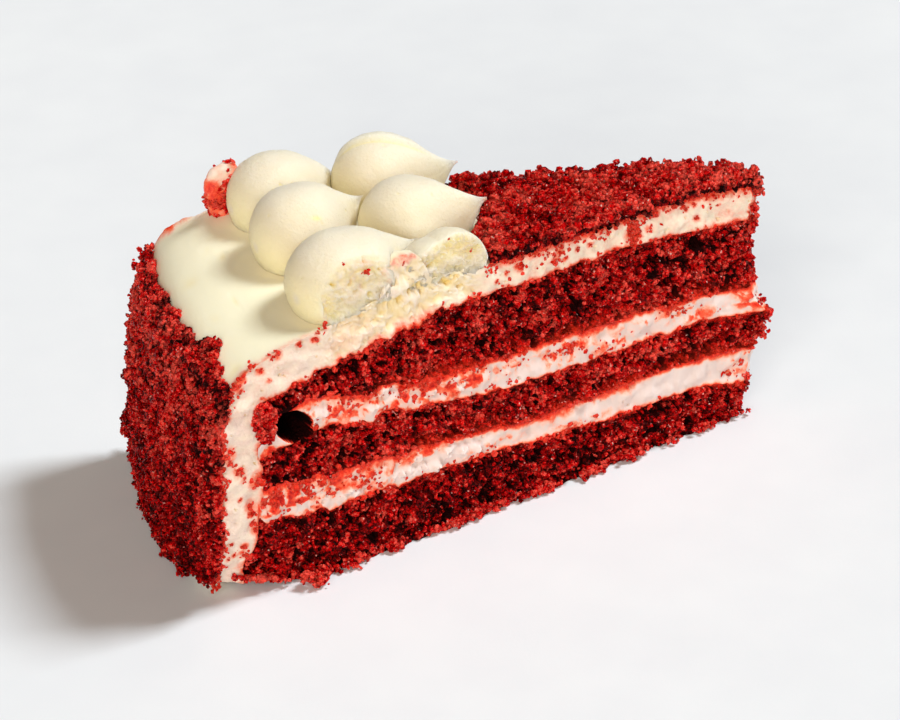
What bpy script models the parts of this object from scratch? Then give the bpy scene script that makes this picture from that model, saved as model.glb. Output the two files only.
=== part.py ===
"""A slice of round layer cake: red sponge layers, cream fillings, icing, crumb coats and piped kisses.

The slice is a wedge of a round cake. The cake's centre line would pass through x = APEX_X, the curved rim
faces -X, the blunt tip faces +X, one cut face looks to -Y (near) and the other to +Y (far), and the base is
at z = 0. Lengths below are in millimetres and angles in degrees; new_solid turns the points into metres.
"""
import math

import bmesh
import bpy
import numpy as np

COLLECTION = "red_velvet_cake_slice"
TO_METRES = 0.001
SEED = 41
GAP = 0.3
WELD = 0.000001
NEAR = -1.0
FAR = 1.0

# the wedge
APEX_X = 79.0
HALF_ANGLE = 13.6
TIP_RADII = (15.5, 12.2)
TIP_BULGE = 1.6
TIP_ROUGH = 0.5
RIM_RADIUS = 134.0

# stations along each cut, round the rim, across the tip, and up each kind of layer
CUT_STEPS = 42
RIM_STEPS = 6
TIP_STEPS = 4
SPONGE_STEPS = 4
CREAM_STEPS = 2

# heights of the boundaries between the layers on the near cut, as pairs of radius and height
FILLING_1_BASE = ((16.0, 8.3), (27.0, 11.0), (43.0, 11.0), (63.0, 12.5), (85.0, 14.2), (120.0, 15.5),
                  (134.0, 17.6))
FILLING_1_TOP = ((15.0, 16.5), (27.0, 18.0), (73.0, 18.3), (80.0, 19.5), (95.0, 21.2), (118.0, 23.4),
                 (134.0, 25.2))
FILLING_2_BASE = ((15.0, 24.6), (27.0, 27.0), (60.0, 27.2), (82.0, 28.4), (92.0, 30.6), (106.0, 32.5),
                  (120.0, 34.0), (134.0, 32.0))
FILLING_2_TOP = ((16.0, 31.0), (27.0, 33.0), (50.0, 34.4), (80.0, 35.3), (96.0, 37.0), (115.0, 40.0),
                 (124.0, 41.8), (134.0, 37.6))
ICING_BASE = ((16.0, 47.0), (27.0, 49.0), (47.0, 50.7), (80.0, 50.8), (91.0, 51.6), (99.0, 49.6),
              (108.0, 48.0), (122.0, 46.8), (128.0, 45.6), (134.0, 43.0))
FAR_SHIFT = 0.9
FAR_WAVE = 0.5
FAR_PITCH = 26.0

# the icing: its upper surface and outer wall on each cut, and the inner wall against the layers
TOP_NEAR = ((15.5, 54.4), (22.0, 56.2), (40.0, 57.2), (60.0, 57.0), (80.0, 57.4), (100.0, 57.0),
            (117.0, 56.2), (126.0, 55.0), (133.0, 53.4), (137.5, 51.6))
TOP_FAR = ((15.5, 54.6), (22.0, 56.4), (40.0, 57.4), (60.0, 57.2), (80.0, 57.6), (100.0, 57.4),
           (117.0, 57.0), (126.0, 56.0), (132.0, 53.6), (137.0, 50.6))
TOP_DISH = 0.9
WALL_NEAR = ((0.0, 143.5), (10.0, 144.0), (22.0, 143.4), (31.0, 142.4), (42.0, 141.2), (50.0, 139.0))
WALL_FAR = ((0.0, 145.0), (6.0, 144.8), (12.0, 143.4), (22.0, 142.0), (31.0, 141.2), (40.0, 139.4),
            (50.0, 136.8))
INNER_WALL = ((0.0, 137.6), (7.7, 137.4), (12.0, 136.2), (18.6, 134.6), (28.0, 133.5), (36.0, 133.5),
              (46.0, 134.0))
WALL_TOP = 50.0
WALL_LEVELS = 9
WALL_COLUMNS = 12
INNER_LEVELS = 10
SHOULDER_RADIUS = 137.0
SPLIT_RADIUS = 133.6
TOP_ROWS = 21
TOP_COLUMNS = 8

# the worn lower corner where the near cut meets the rim
CORNER_START = 118.0
CORNER_RUN = 29.0
CORNER_ANGLE = 9.0
CORNER_LIFT = 5.2
CORNER_PULL = 8.0
CORNER_HEIGHT = 17.0
CORNER_POWER = 1.5

# relief of the cut faces, as an inward depth
SPONGE_RELIEF = 1.0
CREAM_RELIEF = 0.4
JOINT_RELIEF = 0.3
RELIEF_PITCH = 6.0
WAVE_COUNT = 7
WAVE_SPREAD = (0.7, 1.8)
WAVE_LEVEL = 3.2
HOLE_RADIUS = 126.0
HOLE_HEIGHT = 37.6
HOLE_HALF_WIDTH = 4.2
HOLE_HALF_HEIGHT = 5.4
HOLE_DEPTH = 7.0
HOLE_SLOPE = 1.6
SPRIG_HEIGHT = 23.5
SPRIG_Y = -3.4
SPRIG_SPREAD = 3.2
SPRIG_LENGTH = 3.2
SPRIG_SIDEWAYS = 0.6

# the crumb coat on the rim
COAT_COLUMNS = 38
COAT_ROWS = 27
COAT_THICKNESS = 1.5
COAT_CRUMB = 1.7
COAT_TOP = ((-13.6, 51.0), (-11.0, 53.2), (-7.0, 53.4), (-3.0, 51.6), (13.6, 49.4))
COAT_RAGGED = 0.9
COAT_BACK_LEVELS = 8
CRUMB_PITCH = 2.9
CRUMB_FILL = 1.7
CRUMB_SPREAD = (0.55, 0.95)
CRUMB_TOPS = (0.45, 1.0)

# the crumb bed on top, from the tip back to the kisses, as pairs of angle and radius along its back edge
BED_EDGE = ((-13.6, 78.0), (-10.0, 76.6), (-6.0, 74.0), (-1.0, 71.5), (5.0, 69.0), (9.0, 71.0), (13.6, 75.0))
BED_TIPS = (14.4, 10.8)
BED_ROWS = 32
BED_COLUMNS = (3, 13)
BED_BACK_ROWS = 10
BED_BACK_COLUMNS = 4
BED_THICKNESS = 1.0
BED_CRUMB = 2.3

# the kisses: centre, end of the tail, ball radius, top height, tail height and sharpness of the tail
KISSES = (
    ("kiss_inner_middle", (-86.3, 0.6), (-70.4, -3.4), 10.0, 71.0, 64.6, 1.45),
    ("kiss_inner_far", (-86.9, 19.6), (-71.0, 15.6), 9.8, 72.0, 65.4, 1.45),
    ("kiss_inner_near", (-87.0, -19.3), (-77.0, -17.1), 9.2, 67.6, 60.6, 0.7),
    ("kiss_rim_middle", (-108.9, 2.2), (-94.6, 5.8), 10.3, 71.8, 64.0, 1.45),
    ("kiss_rim_far", (-108.8, 21.8), (-96.0, 24.6), 9.6, 70.2, 63.0, 1.45),
    ("kiss_rim_near", (-108.2, -18.4), (-89.0, -11.4), 10.5, 71.8, 66.0, 1.2),
)
KISS_RINGS = 13
KISS_SIDES = 14
KISS_SWELL = 1.1
KISS_LIFT_POWER = 1.2
KISS_ENDS = (0.04, 0.97)
KISS_CUT_RELIEF = 0.4
KISS_CLEARANCE = 0.3
KISS_LEAST = 0.6

# the crumb-covered flake standing on the far edge: height, radius, half length and half thickness
FLAKE = ((0.0, 122.4, 2.2, 1.3), (2.2, 122.9, 2.1, 1.3), (4.6, 123.4, 2.2, 1.2), (7.0, 123.0, 2.5, 1.3),
         (9.0, 121.8, 2.9, 1.2), (10.6, 120.9, 2.4, 1.0), (11.6, 120.4, 1.4, 0.6))
FLAKE_INSET = 2.0
FLAKE_SIDES = 9
FLAKE_ROUGH = 0.22

# colours, as red, green and blue, with the roughness of each surface
SPONGE_LOOK = ((0.26, 0.010, 0.010), 0.92)
CREAM_LOOK = ((0.80, 0.62, 0.55), 0.6)
ICING_LOOK = ((0.86, 0.81, 0.66), 0.5)
CRUMB_LOOK = ((0.33, 0.006, 0.008), 0.9)
KISS_LOOK = ((0.88, 0.84, 0.68), 0.45)


def read(table, values):
    """Value read from a table of pairs, straight between them."""
    pairs = np.array(table)
    return np.interp(values, pairs[:, 0], pairs[:, 1])


def ease(values):
    """Smooth step from 0 to 1 over the range 0 to 1."""
    clipped = np.clip(values, 0.0, 1.0)
    return clipped * clipped * (3.0 - 2.0 * clipped)


def across(angle):
    """Part of the way from the near cut to the far cut, 0 to 1."""
    return (angle + HALF_ANGLE) / (2.0 * HALF_ANGLE)


def waves(first, second, pitch, seed):
    """Smooth unevenness between about -1 and 1: a sum of sine waves in seeded directions and phases."""
    random = np.random.default_rng(SEED + seed)
    total = np.zeros(np.broadcast(first, second).shape)
    for _ in range(WAVE_COUNT):
        angle = random.uniform(0.0, math.tau)
        scale = math.tau / (pitch * random.uniform(*WAVE_SPREAD))
        phase = random.uniform(0.0, math.tau)
        total = total + np.sin(scale * (first * math.cos(angle) + second * math.sin(angle)) + phase)
    return total / WAVE_LEVEL


def crumb_field(low, high, seed):
    """Seeded crumbs scattered over a rectangle: centre, radius and relative height of each."""
    random = np.random.default_rng(SEED + seed)
    size = np.subtract(high, low)
    count = int(CRUMB_FILL * size[0] * size[1] / CRUMB_PITCH ** 2)
    centres = random.uniform(low, high, (count, 2))
    radii = CRUMB_PITCH * random.uniform(*CRUMB_SPREAD, count)
    tops = random.uniform(*CRUMB_TOPS, count)
    return np.column_stack((centres, radii, tops))


def crumb_height(field, first, second):
    """Relative height of a crumb bed at each place: every crumb is a dome, and the highest counts."""
    level = np.zeros(np.broadcast(first, second).shape)
    for x, y, radius, top in field:
        square = ((first - x) ** 2 + (second - y) ** 2) / radius ** 2
        level = np.maximum(level, top * np.sqrt(np.clip(1.0 - square, 0.0, None)))
    return level


def tip_radius(angle):
    """Radius of the blunt tip, which reaches further on the far side."""
    return TIP_RADII[0] + (TIP_RADII[1] - TIP_RADII[0]) * across(angle)


def corner(radius, angle):
    """How far a place belongs to the worn lower corner, 0 to 1."""
    run = ease((radius - CORNER_START) / CORNER_RUN)
    side = ease(1.0 - (angle + HALF_ANGLE) / CORNER_ANGLE)
    return run * side


def base_height(radius, angle):
    """Underside of the slice: flat, lifted a little at the worn corner."""
    return CORNER_LIFT * corner(radius, angle) ** 2


def joint(table, radius, angle):
    """Height of a boundary between layers: the table at the near cut, with its own waves at the far cut."""
    near = read(table, radius)
    far = read(table, radius + FAR_SHIFT) + FAR_WAVE * waves(radius, near, FAR_PITCH, len(table))
    return near * (1.0 - across(angle)) + far * across(angle)


def icing_top(radius, angle):
    """Height of the icing's upper surface, dished a little between its two cut edges."""
    part = across(angle)
    level = read(TOP_NEAR, radius) * (1.0 - part) + read(TOP_FAR, radius) * part
    return level - TOP_DISH * np.sin(math.pi * np.clip(part, 0.0, 1.0)) * ease(radius / RIM_RADIUS)


def wall_radius(height, angle):
    """Radius of the icing's outer wall, which leans out towards the base."""
    part = across(angle)
    return read(WALL_NEAR, height) * (1.0 - part) + read(WALL_FAR, height) * part


def radial(radius, angle, height):
    """Points at a radius from the cake's centre, an angle from the slice's middle line and a height."""
    turn = np.radians(angle)
    x = APEX_X - radius * np.cos(turn)
    y = radius * np.sin(turn)
    return np.stack(np.broadcast_arrays(x, y, height), -1)


def hole_depth(radius, height):
    """Depth of the dark hole in the near cut, beside the rim icing."""
    along = (radius - HOLE_RADIUS) / HOLE_HALF_WIDTH
    up = (height - HOLE_HEIGHT) / HOLE_HALF_HEIGHT
    return HOLE_DEPTH * ease(HOLE_SLOPE * (1.0 - along ** 2 - up ** 2))


def corner_pull(radius, height):
    """Depth of the near cut's worn lower corner."""
    fade = np.clip(1.0 - height / CORNER_HEIGHT, 0.0, None) ** CORNER_POWER
    return CORNER_PULL * corner(radius, -HALF_ANGLE) * fade


def inward(side):
    """Unit direction from a cut face into the slice."""
    turn = math.radians(HALF_ANGLE)
    return np.array((-math.sin(turn), -side * math.cos(turn), 0.0))


def on_cut(side, radius, height, relief):
    """Points on a cut face: the flat cut with its relief, hole and worn corner set into it."""
    radius, height = np.broadcast_arrays(radius, height)
    depth = relief * (waves(radius, height, RELIEF_PITCH, int(side)) + 1.0)
    if side == NEAR:
        depth = depth + hole_depth(radius, height) + corner_pull(radius, height)
    return radial(radius, side * HALF_ANGLE, height) + depth[..., None] * inward(side)


def tip_points(far, near, height):
    """Points across the blunt tip between the two cuts, bulging outwards."""
    parts = np.linspace(0.0, 1.0, TIP_STEPS + 1)[1:-1, None]
    points = far * (1.0 - parts) + near * parts
    round_off = np.sin(math.pi * parts[:, 0])
    points[:, 0] += TIP_BULGE * (round_off + TIP_ROUGH * waves(points[:, 1], height, RELIEF_PITCH, TIP_STEPS))
    return points


def sprig(points):
    """Tip points with the torn sprig of sponge pushed out of the tip."""
    away = np.hypot(points[:, 1] - SPRIG_Y, points[:, 2] - SPRIG_HEIGHT) / SPRIG_SPREAD
    amount = SPRIG_LENGTH * np.exp(-away ** 2)
    moved = points.copy()
    moved[:, 0] += amount
    moved[:, 1] -= SPRIG_SIDEWAYS * amount
    return moved


def level_loop(heights, relief, rim_gap):
    """One level of a layer: near cut, rim, far cut and tip, each from the tip or the near side on.

    heights gives the level's height from a radius and an angle.
    """
    parts = np.linspace(0.0, 1.0, CUT_STEPS + 1)
    angles = np.linspace(-HALF_ANGLE, HALF_ANGLE, RIM_STEPS + 1)
    rim_heights = heights(RIM_RADIUS, angles)
    rim_radii = read(INNER_WALL, rim_heights) - rim_gap
    cuts = []
    for side, rim in ((NEAR, rim_radii[0]), (FAR, rim_radii[-1])):
        tip_end = tip_radius(side * HALF_ANGLE)
        radii = tip_end + parts * (rim - tip_end)
        cuts.append(on_cut(side, radii, heights(radii, side * HALF_ANGLE), relief))
    arc = radial(rim_radii, angles, rim_heights)
    arc[0] = cuts[0][-1]
    arc[-1] = cuts[1][-1]
    tip_height = heights(tip_radius(0.0), 0.0)
    middle = tip_points(cuts[1][0], cuts[0][0], tip_height)
    tip = sprig(np.vstack((cuts[0][:1], middle[::-1], cuts[1][:1])))
    cuts[0][0] = tip[0]
    cuts[1][0] = tip[-1]
    return {"near": cuts[0], "far": cuts[1], "rim": arc, "tip": tip}


def zip_lines(first, last):
    """Triangles between two lines of points that run the same way, however many points each has."""
    steps = (len(first) - 1, len(last) - 1)
    triangles = []
    i = 0
    j = 0
    while i < steps[0] or j < steps[1]:
        ahead_first = (i + 1) * max(steps[1], 1) if i < steps[0] else math.inf
        ahead_last = (j + 1) * max(steps[0], 1) if j < steps[1] else math.inf
        if ahead_first <= ahead_last:
            triangles.append((first[i], first[i + 1], last[j]))
            i += 1
        else:
            triangles.append((first[i], last[j + 1], last[j]))
            j += 1
    return triangles


def zip_rows(rows):
    """Triangles over a stack of lines of points."""
    triangles = []
    for first, last in zip(rows[:-1], rows[1:]):
        triangles += zip_lines(first, last)
    return triangles


def layer_end(loop):
    """Triangles over the top or bottom of a layer: ruled from cut to cut, filled at the rim and the tip."""
    near = loop["near"]
    far = loop["far"]
    triangles = zip_lines(near, far)
    triangles += zip_lines(np.vstack((near[-1:], far[-1:])), loop["rim"])
    triangles += zip_lines(np.vstack((near[:1], far[:1])), loop["tip"])
    return triangles


def loop_line(loop):
    """A layer's level as one closed line of points."""
    return np.vstack((loop["near"], loop["rim"][1:-1], loop["far"][::-1], loop["tip"][-2::-1]))


def new_material(name, look):
    """A plain surface of one colour and roughness."""
    colour, roughness = look
    material = bpy.data.materials.new(name)
    material.use_nodes = True
    shader = material.node_tree.nodes["Principled BSDF"]
    shader.inputs["Base Color"].default_value = (*colour, 1.0)
    shader.inputs["Roughness"].default_value = roughness
    shader.inputs["Metallic"].default_value = 0.0
    return material


def new_solid(name, triangles, look, collection):
    """A closed mesh object in metres, welded from triangles given in millimetres, with its own material."""
    corners = np.array(triangles).reshape(-1, 3) * TO_METRES
    mesh = bpy.data.meshes.new(name)
    mesh.from_pydata(corners.tolist(), [], np.arange(len(corners)).reshape(-1, 3).tolist())
    shape = bmesh.new()
    shape.from_mesh(mesh)
    bmesh.ops.remove_doubles(shape, verts=shape.verts, dist=WELD)
    bmesh.ops.recalc_face_normals(shape, faces=shape.faces)
    if shape.calc_volume(signed=True) < 0.0:
        bmesh.ops.reverse_faces(shape, faces=shape.faces)
    shape.to_mesh(mesh)
    shape.free()
    mesh.materials.append(new_material(name, look))
    solid = bpy.data.objects.new(name, mesh)
    collection.objects.link(solid)
    return solid


def layer(name, bottom, top, steps, relief, look, collection):
    """One layer of sponge or filling between two heights, with relief on its cut faces."""
    loops = []
    for part in np.linspace(0.0, 1.0, steps + 1):

        def heights(radius, angle, part=part):
            return bottom(radius, angle) * (1.0 - part) + top(radius, angle) * part

        edge = part in (0.0, 1.0)
        loops.append(level_loop(heights, JOINT_RELIEF if edge else relief, GAP))
    triangles = layer_end(loops[0]) + layer_end(loops[-1])
    triangles += zip_rows([loop_line(loop) for loop in loops])
    return new_solid(name, triangles, look, collection)


def above(table):
    """Height just above a boundary, as a function of radius and angle."""
    return lambda radius, angle: joint(table, radius, angle) + GAP / 2.0


def below(table):
    """Height just below a boundary, as a function of radius and angle."""
    return lambda radius, angle: joint(table, radius, angle) - GAP / 2.0


def build_layers(collection):
    """The three sponge layers and the two cream fillings between them."""
    sponge = (SPONGE_STEPS, SPONGE_RELIEF, SPONGE_LOOK, collection)
    cream = (CREAM_STEPS, CREAM_RELIEF, CREAM_LOOK, collection)
    layer("sponge_bottom", base_height, below(FILLING_1_BASE), *sponge)
    layer("filling_lower", above(FILLING_1_BASE), below(FILLING_1_TOP), *cream)
    layer("sponge_middle", above(FILLING_1_TOP), below(FILLING_2_BASE), *sponge)
    layer("filling_upper", above(FILLING_2_BASE), below(FILLING_2_TOP), *cream)
    layer("sponge_top", above(FILLING_2_TOP), below(ICING_BASE), *sponge)


def wall_row(radii_of, heights_of, columns):
    """A row of points round the rim from cut to cut, following the worn corner.

    radii_of and heights_of give the row's radius and height from an angle.
    """
    near_height = float(heights_of(-HALF_ANGLE))
    near_radius = float(radii_of(-HALF_ANGLE))
    turn = math.degrees(float(corner_pull(near_radius, near_height)) / near_radius)
    angles = np.linspace(turn - HALF_ANGLE, HALF_ANGLE, columns + 1)
    labels = np.linspace(-HALF_ANGLE, HALF_ANGLE, columns + 1)
    heights = heights_of(labels) + np.zeros(columns + 1)
    radii = radii_of(labels) + np.zeros(columns + 1)
    row = radial(radii, angles, heights)
    row[0] = on_cut(NEAR, radii[0], heights[0], JOINT_RELIEF)
    row[-1] = on_cut(FAR, radii[-1], heights[-1], JOINT_RELIEF)
    return row


def inner_rows():
    """The icing's inner wall, from the joint over the top sponge down to the base."""
    top = above(ICING_BASE)
    rows = []
    for part in np.linspace(0.0, 1.0, INNER_LEVELS + 1):

        def heights(angle, part=part):
            return top(RIM_RADIUS, angle) * (1.0 - part) + base_height(RIM_RADIUS, angle) * part

        def radii(angle, heights=heights):
            return read(INNER_WALL, heights(angle))

        rows.append(wall_row(radii, heights, RIM_STEPS))
    return rows


def wall_heights(part):
    """Height of a level of the outer wall, as a function of angle."""

    def heights(angle):
        foot = base_height(read(WALL_NEAR, 0.0), angle)
        return foot * (1.0 - part) + WALL_TOP * part

    return heights


def outer_rows(offset, parts, columns):
    """Rows up the icing's outer wall, moved outwards by an offset."""
    rows = []
    for part in parts:
        heights = wall_heights(part)

        def radii(angle, heights=heights):
            return wall_radius(heights(angle), angle) + offset

        rows.append(wall_row(radii, heights, columns))
    return rows


def top_rows():
    """Rows over the icing's upper surface, from the shoulder to the tip."""
    shoulder = SHOULDER_RADIUS
    rows = [wall_row(lambda angle: shoulder, lambda angle: icing_top(shoulder, angle), WALL_COLUMNS)]
    for part in np.linspace(0.0, 1.0, TOP_ROWS + 1)[:-1]:

        def radii(angle, part=part):
            return SPLIT_RADIUS * (1.0 - part) + tip_radius(angle) * part

        def heights(angle, radii=radii):
            return icing_top(radii(angle), angle)

        rows.append(wall_row(radii, heights, TOP_COLUMNS))
    ends = []
    for side in (NEAR, FAR):
        radius = tip_radius(side * HALF_ANGLE)
        ends.append(on_cut(side, radius, icing_top(radius, side * HALF_ANGLE), JOINT_RELIEF)[None, :])
    middle = tip_points(ends[1], ends[0], icing_top(tip_radius(0.0), 0.0))
    rows.append(np.vstack((ends[0], middle[::-1], ends[1])))
    return rows


def middle_line(first, last, side):
    """A line half-way between two lines of points on a cut face, with the cream's own relief."""
    count = max(len(first), len(last))
    lines = []
    for line in (first, last):
        places = np.linspace(0.0, 1.0, len(line))
        wanted = np.linspace(0.0, 1.0, count)
        lines.append(np.stack([np.interp(wanted, places, line[:, axis]) for axis in range(3)], -1))
    middle = (lines[0] + lines[1]) / 2.0
    depth = CREAM_RELIEF * (waves(middle[:, 0], middle[:, 2], RELIEF_PITCH, int(side)))
    return middle + depth[:, None] * inward(side)


def icing_side(side, under, inner, outer, top, tip_middle, foot_middle):
    """Triangles over one cut face of the icing: the band on top and the band down the rim."""
    column = 0 if side == NEAR else -1
    inner_line = np.array([row[column] for row in inner])
    wall_line = np.array([row[column] for row in outer])[::-1]
    top_line = np.array([row[column] for row in top])
    band_top = top_line[1:][::-1]
    band = middle_line(under, band_top, side)
    band[0] = tip_middle
    rim_line = np.vstack((top_line[1::-1], wall_line))
    rim = middle_line(inner_line, rim_line, side)
    rim[0] = band[-1]
    rim[-1] = foot_middle
    return zip_rows([under, band, band_top]) + zip_rows([inner_line, rim, rim_line])


def icing(collection):
    """The icing: one slab over the top sponge that turns down the rim to the base."""
    under = level_loop(above(ICING_BASE), JOINT_RELIEF, 0.0)
    inner = inner_rows()
    outer = outer_rows(0.0, np.linspace(0.0, 1.0, WALL_LEVELS + 1), WALL_COLUMNS)
    top = top_rows()
    foot = [inner[-1], (inner[-1] + outer[0][::WALL_COLUMNS // RIM_STEPS]) / 2.0, outer[0]]
    tip = [under["tip"], (under["tip"] + top[-1]) / 2.0, top[-1]]
    triangles = layer_end(under) + zip_rows([under["rim"], *inner[1:]])
    inner[0] = under["rim"]
    triangles += zip_rows(foot) + zip_rows(outer + top) + zip_rows(tip)
    for side, key, column in ((NEAR, "near", 0), (FAR, "far", -1)):
        triangles += icing_side(side, under[key], inner, outer, top, tip[1][column], foot[1][column])
    return new_solid("icing", triangles, ICING_LOOK, collection)


def arc_length(radius, angle):
    """Distance round the rim from the slice's middle line."""
    return radius * np.radians(angle)


def coat_top(angle):
    """Height of the crumb coat's ragged upper edge."""
    along = arc_length(RIM_RADIUS, angle)
    return read(COAT_TOP, angle) + COAT_RAGGED * waves(along, WALL_TOP, RELIEF_PITCH, COAT_ROWS)


def coat_row(part, offset_of, columns):
    """A row of the crumb coat, a part of the way from its foot to its ragged top."""

    def heights(angle):
        foot = base_height(read(WALL_NEAR, 0.0), angle)
        return foot * (1.0 - part) + coat_top(angle) * part

    def radii(angle):
        return wall_radius(heights(angle), angle) + offset_of(heights(angle), angle)

    return wall_row(radii, heights, columns)


def rim_coat(collection):
    """The crumb coat pressed on the icing's outer wall, ragged along its top edge."""
    reach = arc_length(RIM_RADIUS, HALF_ANGLE)
    field = crumb_field((-reach, 0.0), (reach, WALL_TOP), 1)

    def thickness(height, angle):
        crumb = crumb_height(field, arc_length(RIM_RADIUS, angle), height)
        return GAP + COAT_THICKNESS + COAT_CRUMB * crumb

    front = [coat_row(part, thickness, COAT_COLUMNS) for part in np.linspace(0.0, 1.0, COAT_ROWS + 1)]
    back = outer_rows(GAP, np.arange(COAT_BACK_LEVELS + 1) / WALL_LEVELS, WALL_COLUMNS)
    back.append(coat_row(1.0, lambda height, angle: GAP, WALL_COLUMNS))
    triangles = zip_rows(front) + zip_rows(back)
    triangles += zip_lines(front[0], back[0]) + zip_lines(front[-1], back[-1])
    for column in (0, -1):
        edge = [row[column] for row in front]
        triangles += zip_lines(edge, [row[column] for row in back])
    return new_solid("rim_crumbs", triangles, CRUMB_LOOK, collection)


def bed_row(part, columns, height_of):
    """A row across the crumb bed, a part of the way from the tip to its back edge."""
    angles = np.linspace(-HALF_ANGLE, HALF_ANGLE, columns + 1)
    tips = BED_TIPS[0] + (BED_TIPS[1] - BED_TIPS[0]) * across(angles)
    radii = tips + part * (read(BED_EDGE, angles) - tips)
    heights = icing_top(radii, angles) + height_of(radii, angles)
    row = radial(radii, angles, heights)
    row[0] = on_cut(NEAR, radii[0], heights[0], JOINT_RELIEF)
    row[-1] = on_cut(FAR, radii[-1], heights[-1], JOINT_RELIEF)
    return row


def top_bed(collection):
    """The crumb bed on top, from the tip back to a wavy edge among the kisses."""
    reach = read(BED_EDGE, HALF_ANGLE)
    field = crumb_field((-CRUMB_PITCH, -reach / 2.0), (reach + CRUMB_PITCH, reach / 2.0), BED_ROWS)

    def height(radii, angles):
        turn = np.radians(angles)
        crumb = crumb_height(field, radii * np.cos(turn), radii * np.sin(turn))
        return GAP + BED_THICKNESS + BED_CRUMB * crumb

    parts = np.linspace(0.0, 1.0, BED_ROWS + 1)
    counts = np.round(BED_COLUMNS[0] + parts * (BED_COLUMNS[1] - BED_COLUMNS[0])).astype(int)
    top = [bed_row(part, count, height) for part, count in zip(parts, counts)]
    back_parts = np.linspace(0.0, 1.0, BED_BACK_ROWS + 1)
    back = [bed_row(part, BED_BACK_COLUMNS, lambda radii, angles: GAP) for part in back_parts]
    triangles = zip_rows(top) + zip_rows(back)
    triangles += zip_lines(top[0], back[0]) + zip_lines(top[-1], back[-1])
    for column in (0, -1):
        edge = [row[column] for row in top]
        triangles += zip_lines(edge, [row[column] for row in back])
    return new_solid("top_crumbs", triangles, CRUMB_LOOK, collection)


def polar(x, y):
    """Radius and angle of a place given from the cake's centre, with x towards the tip."""
    return math.hypot(x, y), math.degrees(math.atan2(y, -x))


def cut_distance(x, y, side):
    """Distance of a place from a cut face, positive inside the slice."""
    return float(np.dot((x, y), inward(side)[:2]))


def ellipse_reach(origin, ray, half_width, half_height):
    """Distance along a ray from a point inside an ellipse about (0, 0) to the ellipse."""
    a = (ray[0] / half_width) ** 2 + (ray[1] / half_height) ** 2
    b = origin[0] * ray[0] / half_width ** 2 + origin[1] * ray[1] / half_height ** 2
    c = (origin[0] / half_width) ** 2 + (origin[1] / half_height) ** 2 - 1.0
    return (-b + math.sqrt(max(b * b - a * c, 0.0))) / a


def sphere_reach(point, ray, centre, radius):
    """Distance along a ray to a sphere ahead of it, or infinity."""
    offset = np.subtract(point, centre)
    b = float(np.dot(offset, ray))
    c = float(np.dot(offset, offset)) - radius ** 2
    square = b * b - c
    if square <= 0.0 or b >= 0.0:
        return math.inf
    return -b - math.sqrt(square)


def kiss_section(kiss, part):
    """Place, half width and half height of a kiss's section, a part of the way along it."""
    _, centre, tail, radius, top, tail_height, power = kiss
    centre = np.array(centre)
    run = np.linalg.norm(np.subtract(tail, centre))
    along = part * (run + radius) - radius
    direction = np.subtract(tail, centre) / run
    place = centre + along * direction
    lift = top - radius
    if along <= 0.0:
        half = math.sqrt(max(radius ** 2 - along ** 2, 0.0))
        return place, direction, half, half, lift
    rest = along / run
    half = radius * (1.0 - rest) ** power * (1.0 + KISS_SWELL * rest)
    height = lift + (tail_height - lift) * rest ** KISS_LIFT_POWER
    return place, direction, half, half, height


def kiss_ring(kiss, part, others):
    """Points round a section of a kiss, cut off by the icing, the two cuts and the kisses beside it."""
    place, direction, half_width, half_height, height = kiss_section(kiss, part)
    sideways = np.array((-direction[1], direction[0]))
    floor = float(icing_top(*polar(*place))) + GAP
    low = -half_width
    high = half_width
    for side in (NEAR, FAR):
        lean = float(np.dot(inward(side)[:2], sideways))
        depth = KISS_CUT_RELIEF * (1.0 + float(waves(place[0], place[1], RELIEF_PITCH, int(side))))
        limit = (depth - cut_distance(*place, side)) / lean
        if lean > 0.0:
            low = max(low, limit)
        else:
            high = min(high, limit)
    base = max(-half_height, floor - height)
    if high - low < KISS_LEAST or half_height - base < KISS_LEAST:
        return None
    origin = np.array(((low + high) / 2.0, (base + half_height) / 2.0))
    point = np.array((*(place + origin[0] * sideways), height + origin[1]))
    if any(np.linalg.norm(point - centre) < radius + KISS_LEAST for centre, radius in others):
        return None
    ring = []
    for turn in np.arange(KISS_SIDES) * math.tau / KISS_SIDES:
        ray = np.array((math.cos(turn), math.sin(turn)))
        ahead = np.array((*(ray[0] * sideways), ray[1]))
        reach = ellipse_reach(origin, ray, half_width, half_height)
        if ray[1] < 0.0:
            reach = min(reach, (base - origin[1]) / ray[1])
        if ray[0] < 0.0:
            reach = min(reach, (low - origin[0]) / ray[0])
        if ray[0] > 0.0:
            reach = min(reach, (high - origin[0]) / ray[0])
        for centre, radius in others:
            reach = min(reach, sphere_reach(point, ahead, centre, radius))
        ring.append(point + reach * ahead)
    return np.array(ring)


def closed_rings(rings):
    """Triangles over a stack of rings, with a fan over each end."""
    lines = [np.vstack((ring, ring[:1])) for ring in rings]
    triangles = zip_rows(lines)
    for line in (lines[0], lines[-1]):
        triangles += zip_lines(line, line[:-1].mean(axis=0)[None, :])
    return triangles


def kisses(collection):
    """The piped kisses, each a ball drawn out to a tail towards the tip, some cut through with the slice."""
    taken = []
    for kiss in KISSES:
        name, centre, _, radius, top, _, _ = kiss
        parts = KISS_ENDS[0] + (KISS_ENDS[1] - KISS_ENDS[0]) * np.linspace(0.0, 1.0, KISS_RINGS)
        rings = [kiss_ring(kiss, part, taken) for part in parts]
        triangles = closed_rings([ring for ring in rings if ring is not None])
        triangles = np.array(triangles) + (APEX_X, 0.0, 0.0)
        new_solid(name, triangles, KISS_LOOK, collection)
        taken.append((np.array((*centre, top - radius)), radius + KISS_CLEARANCE))


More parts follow.
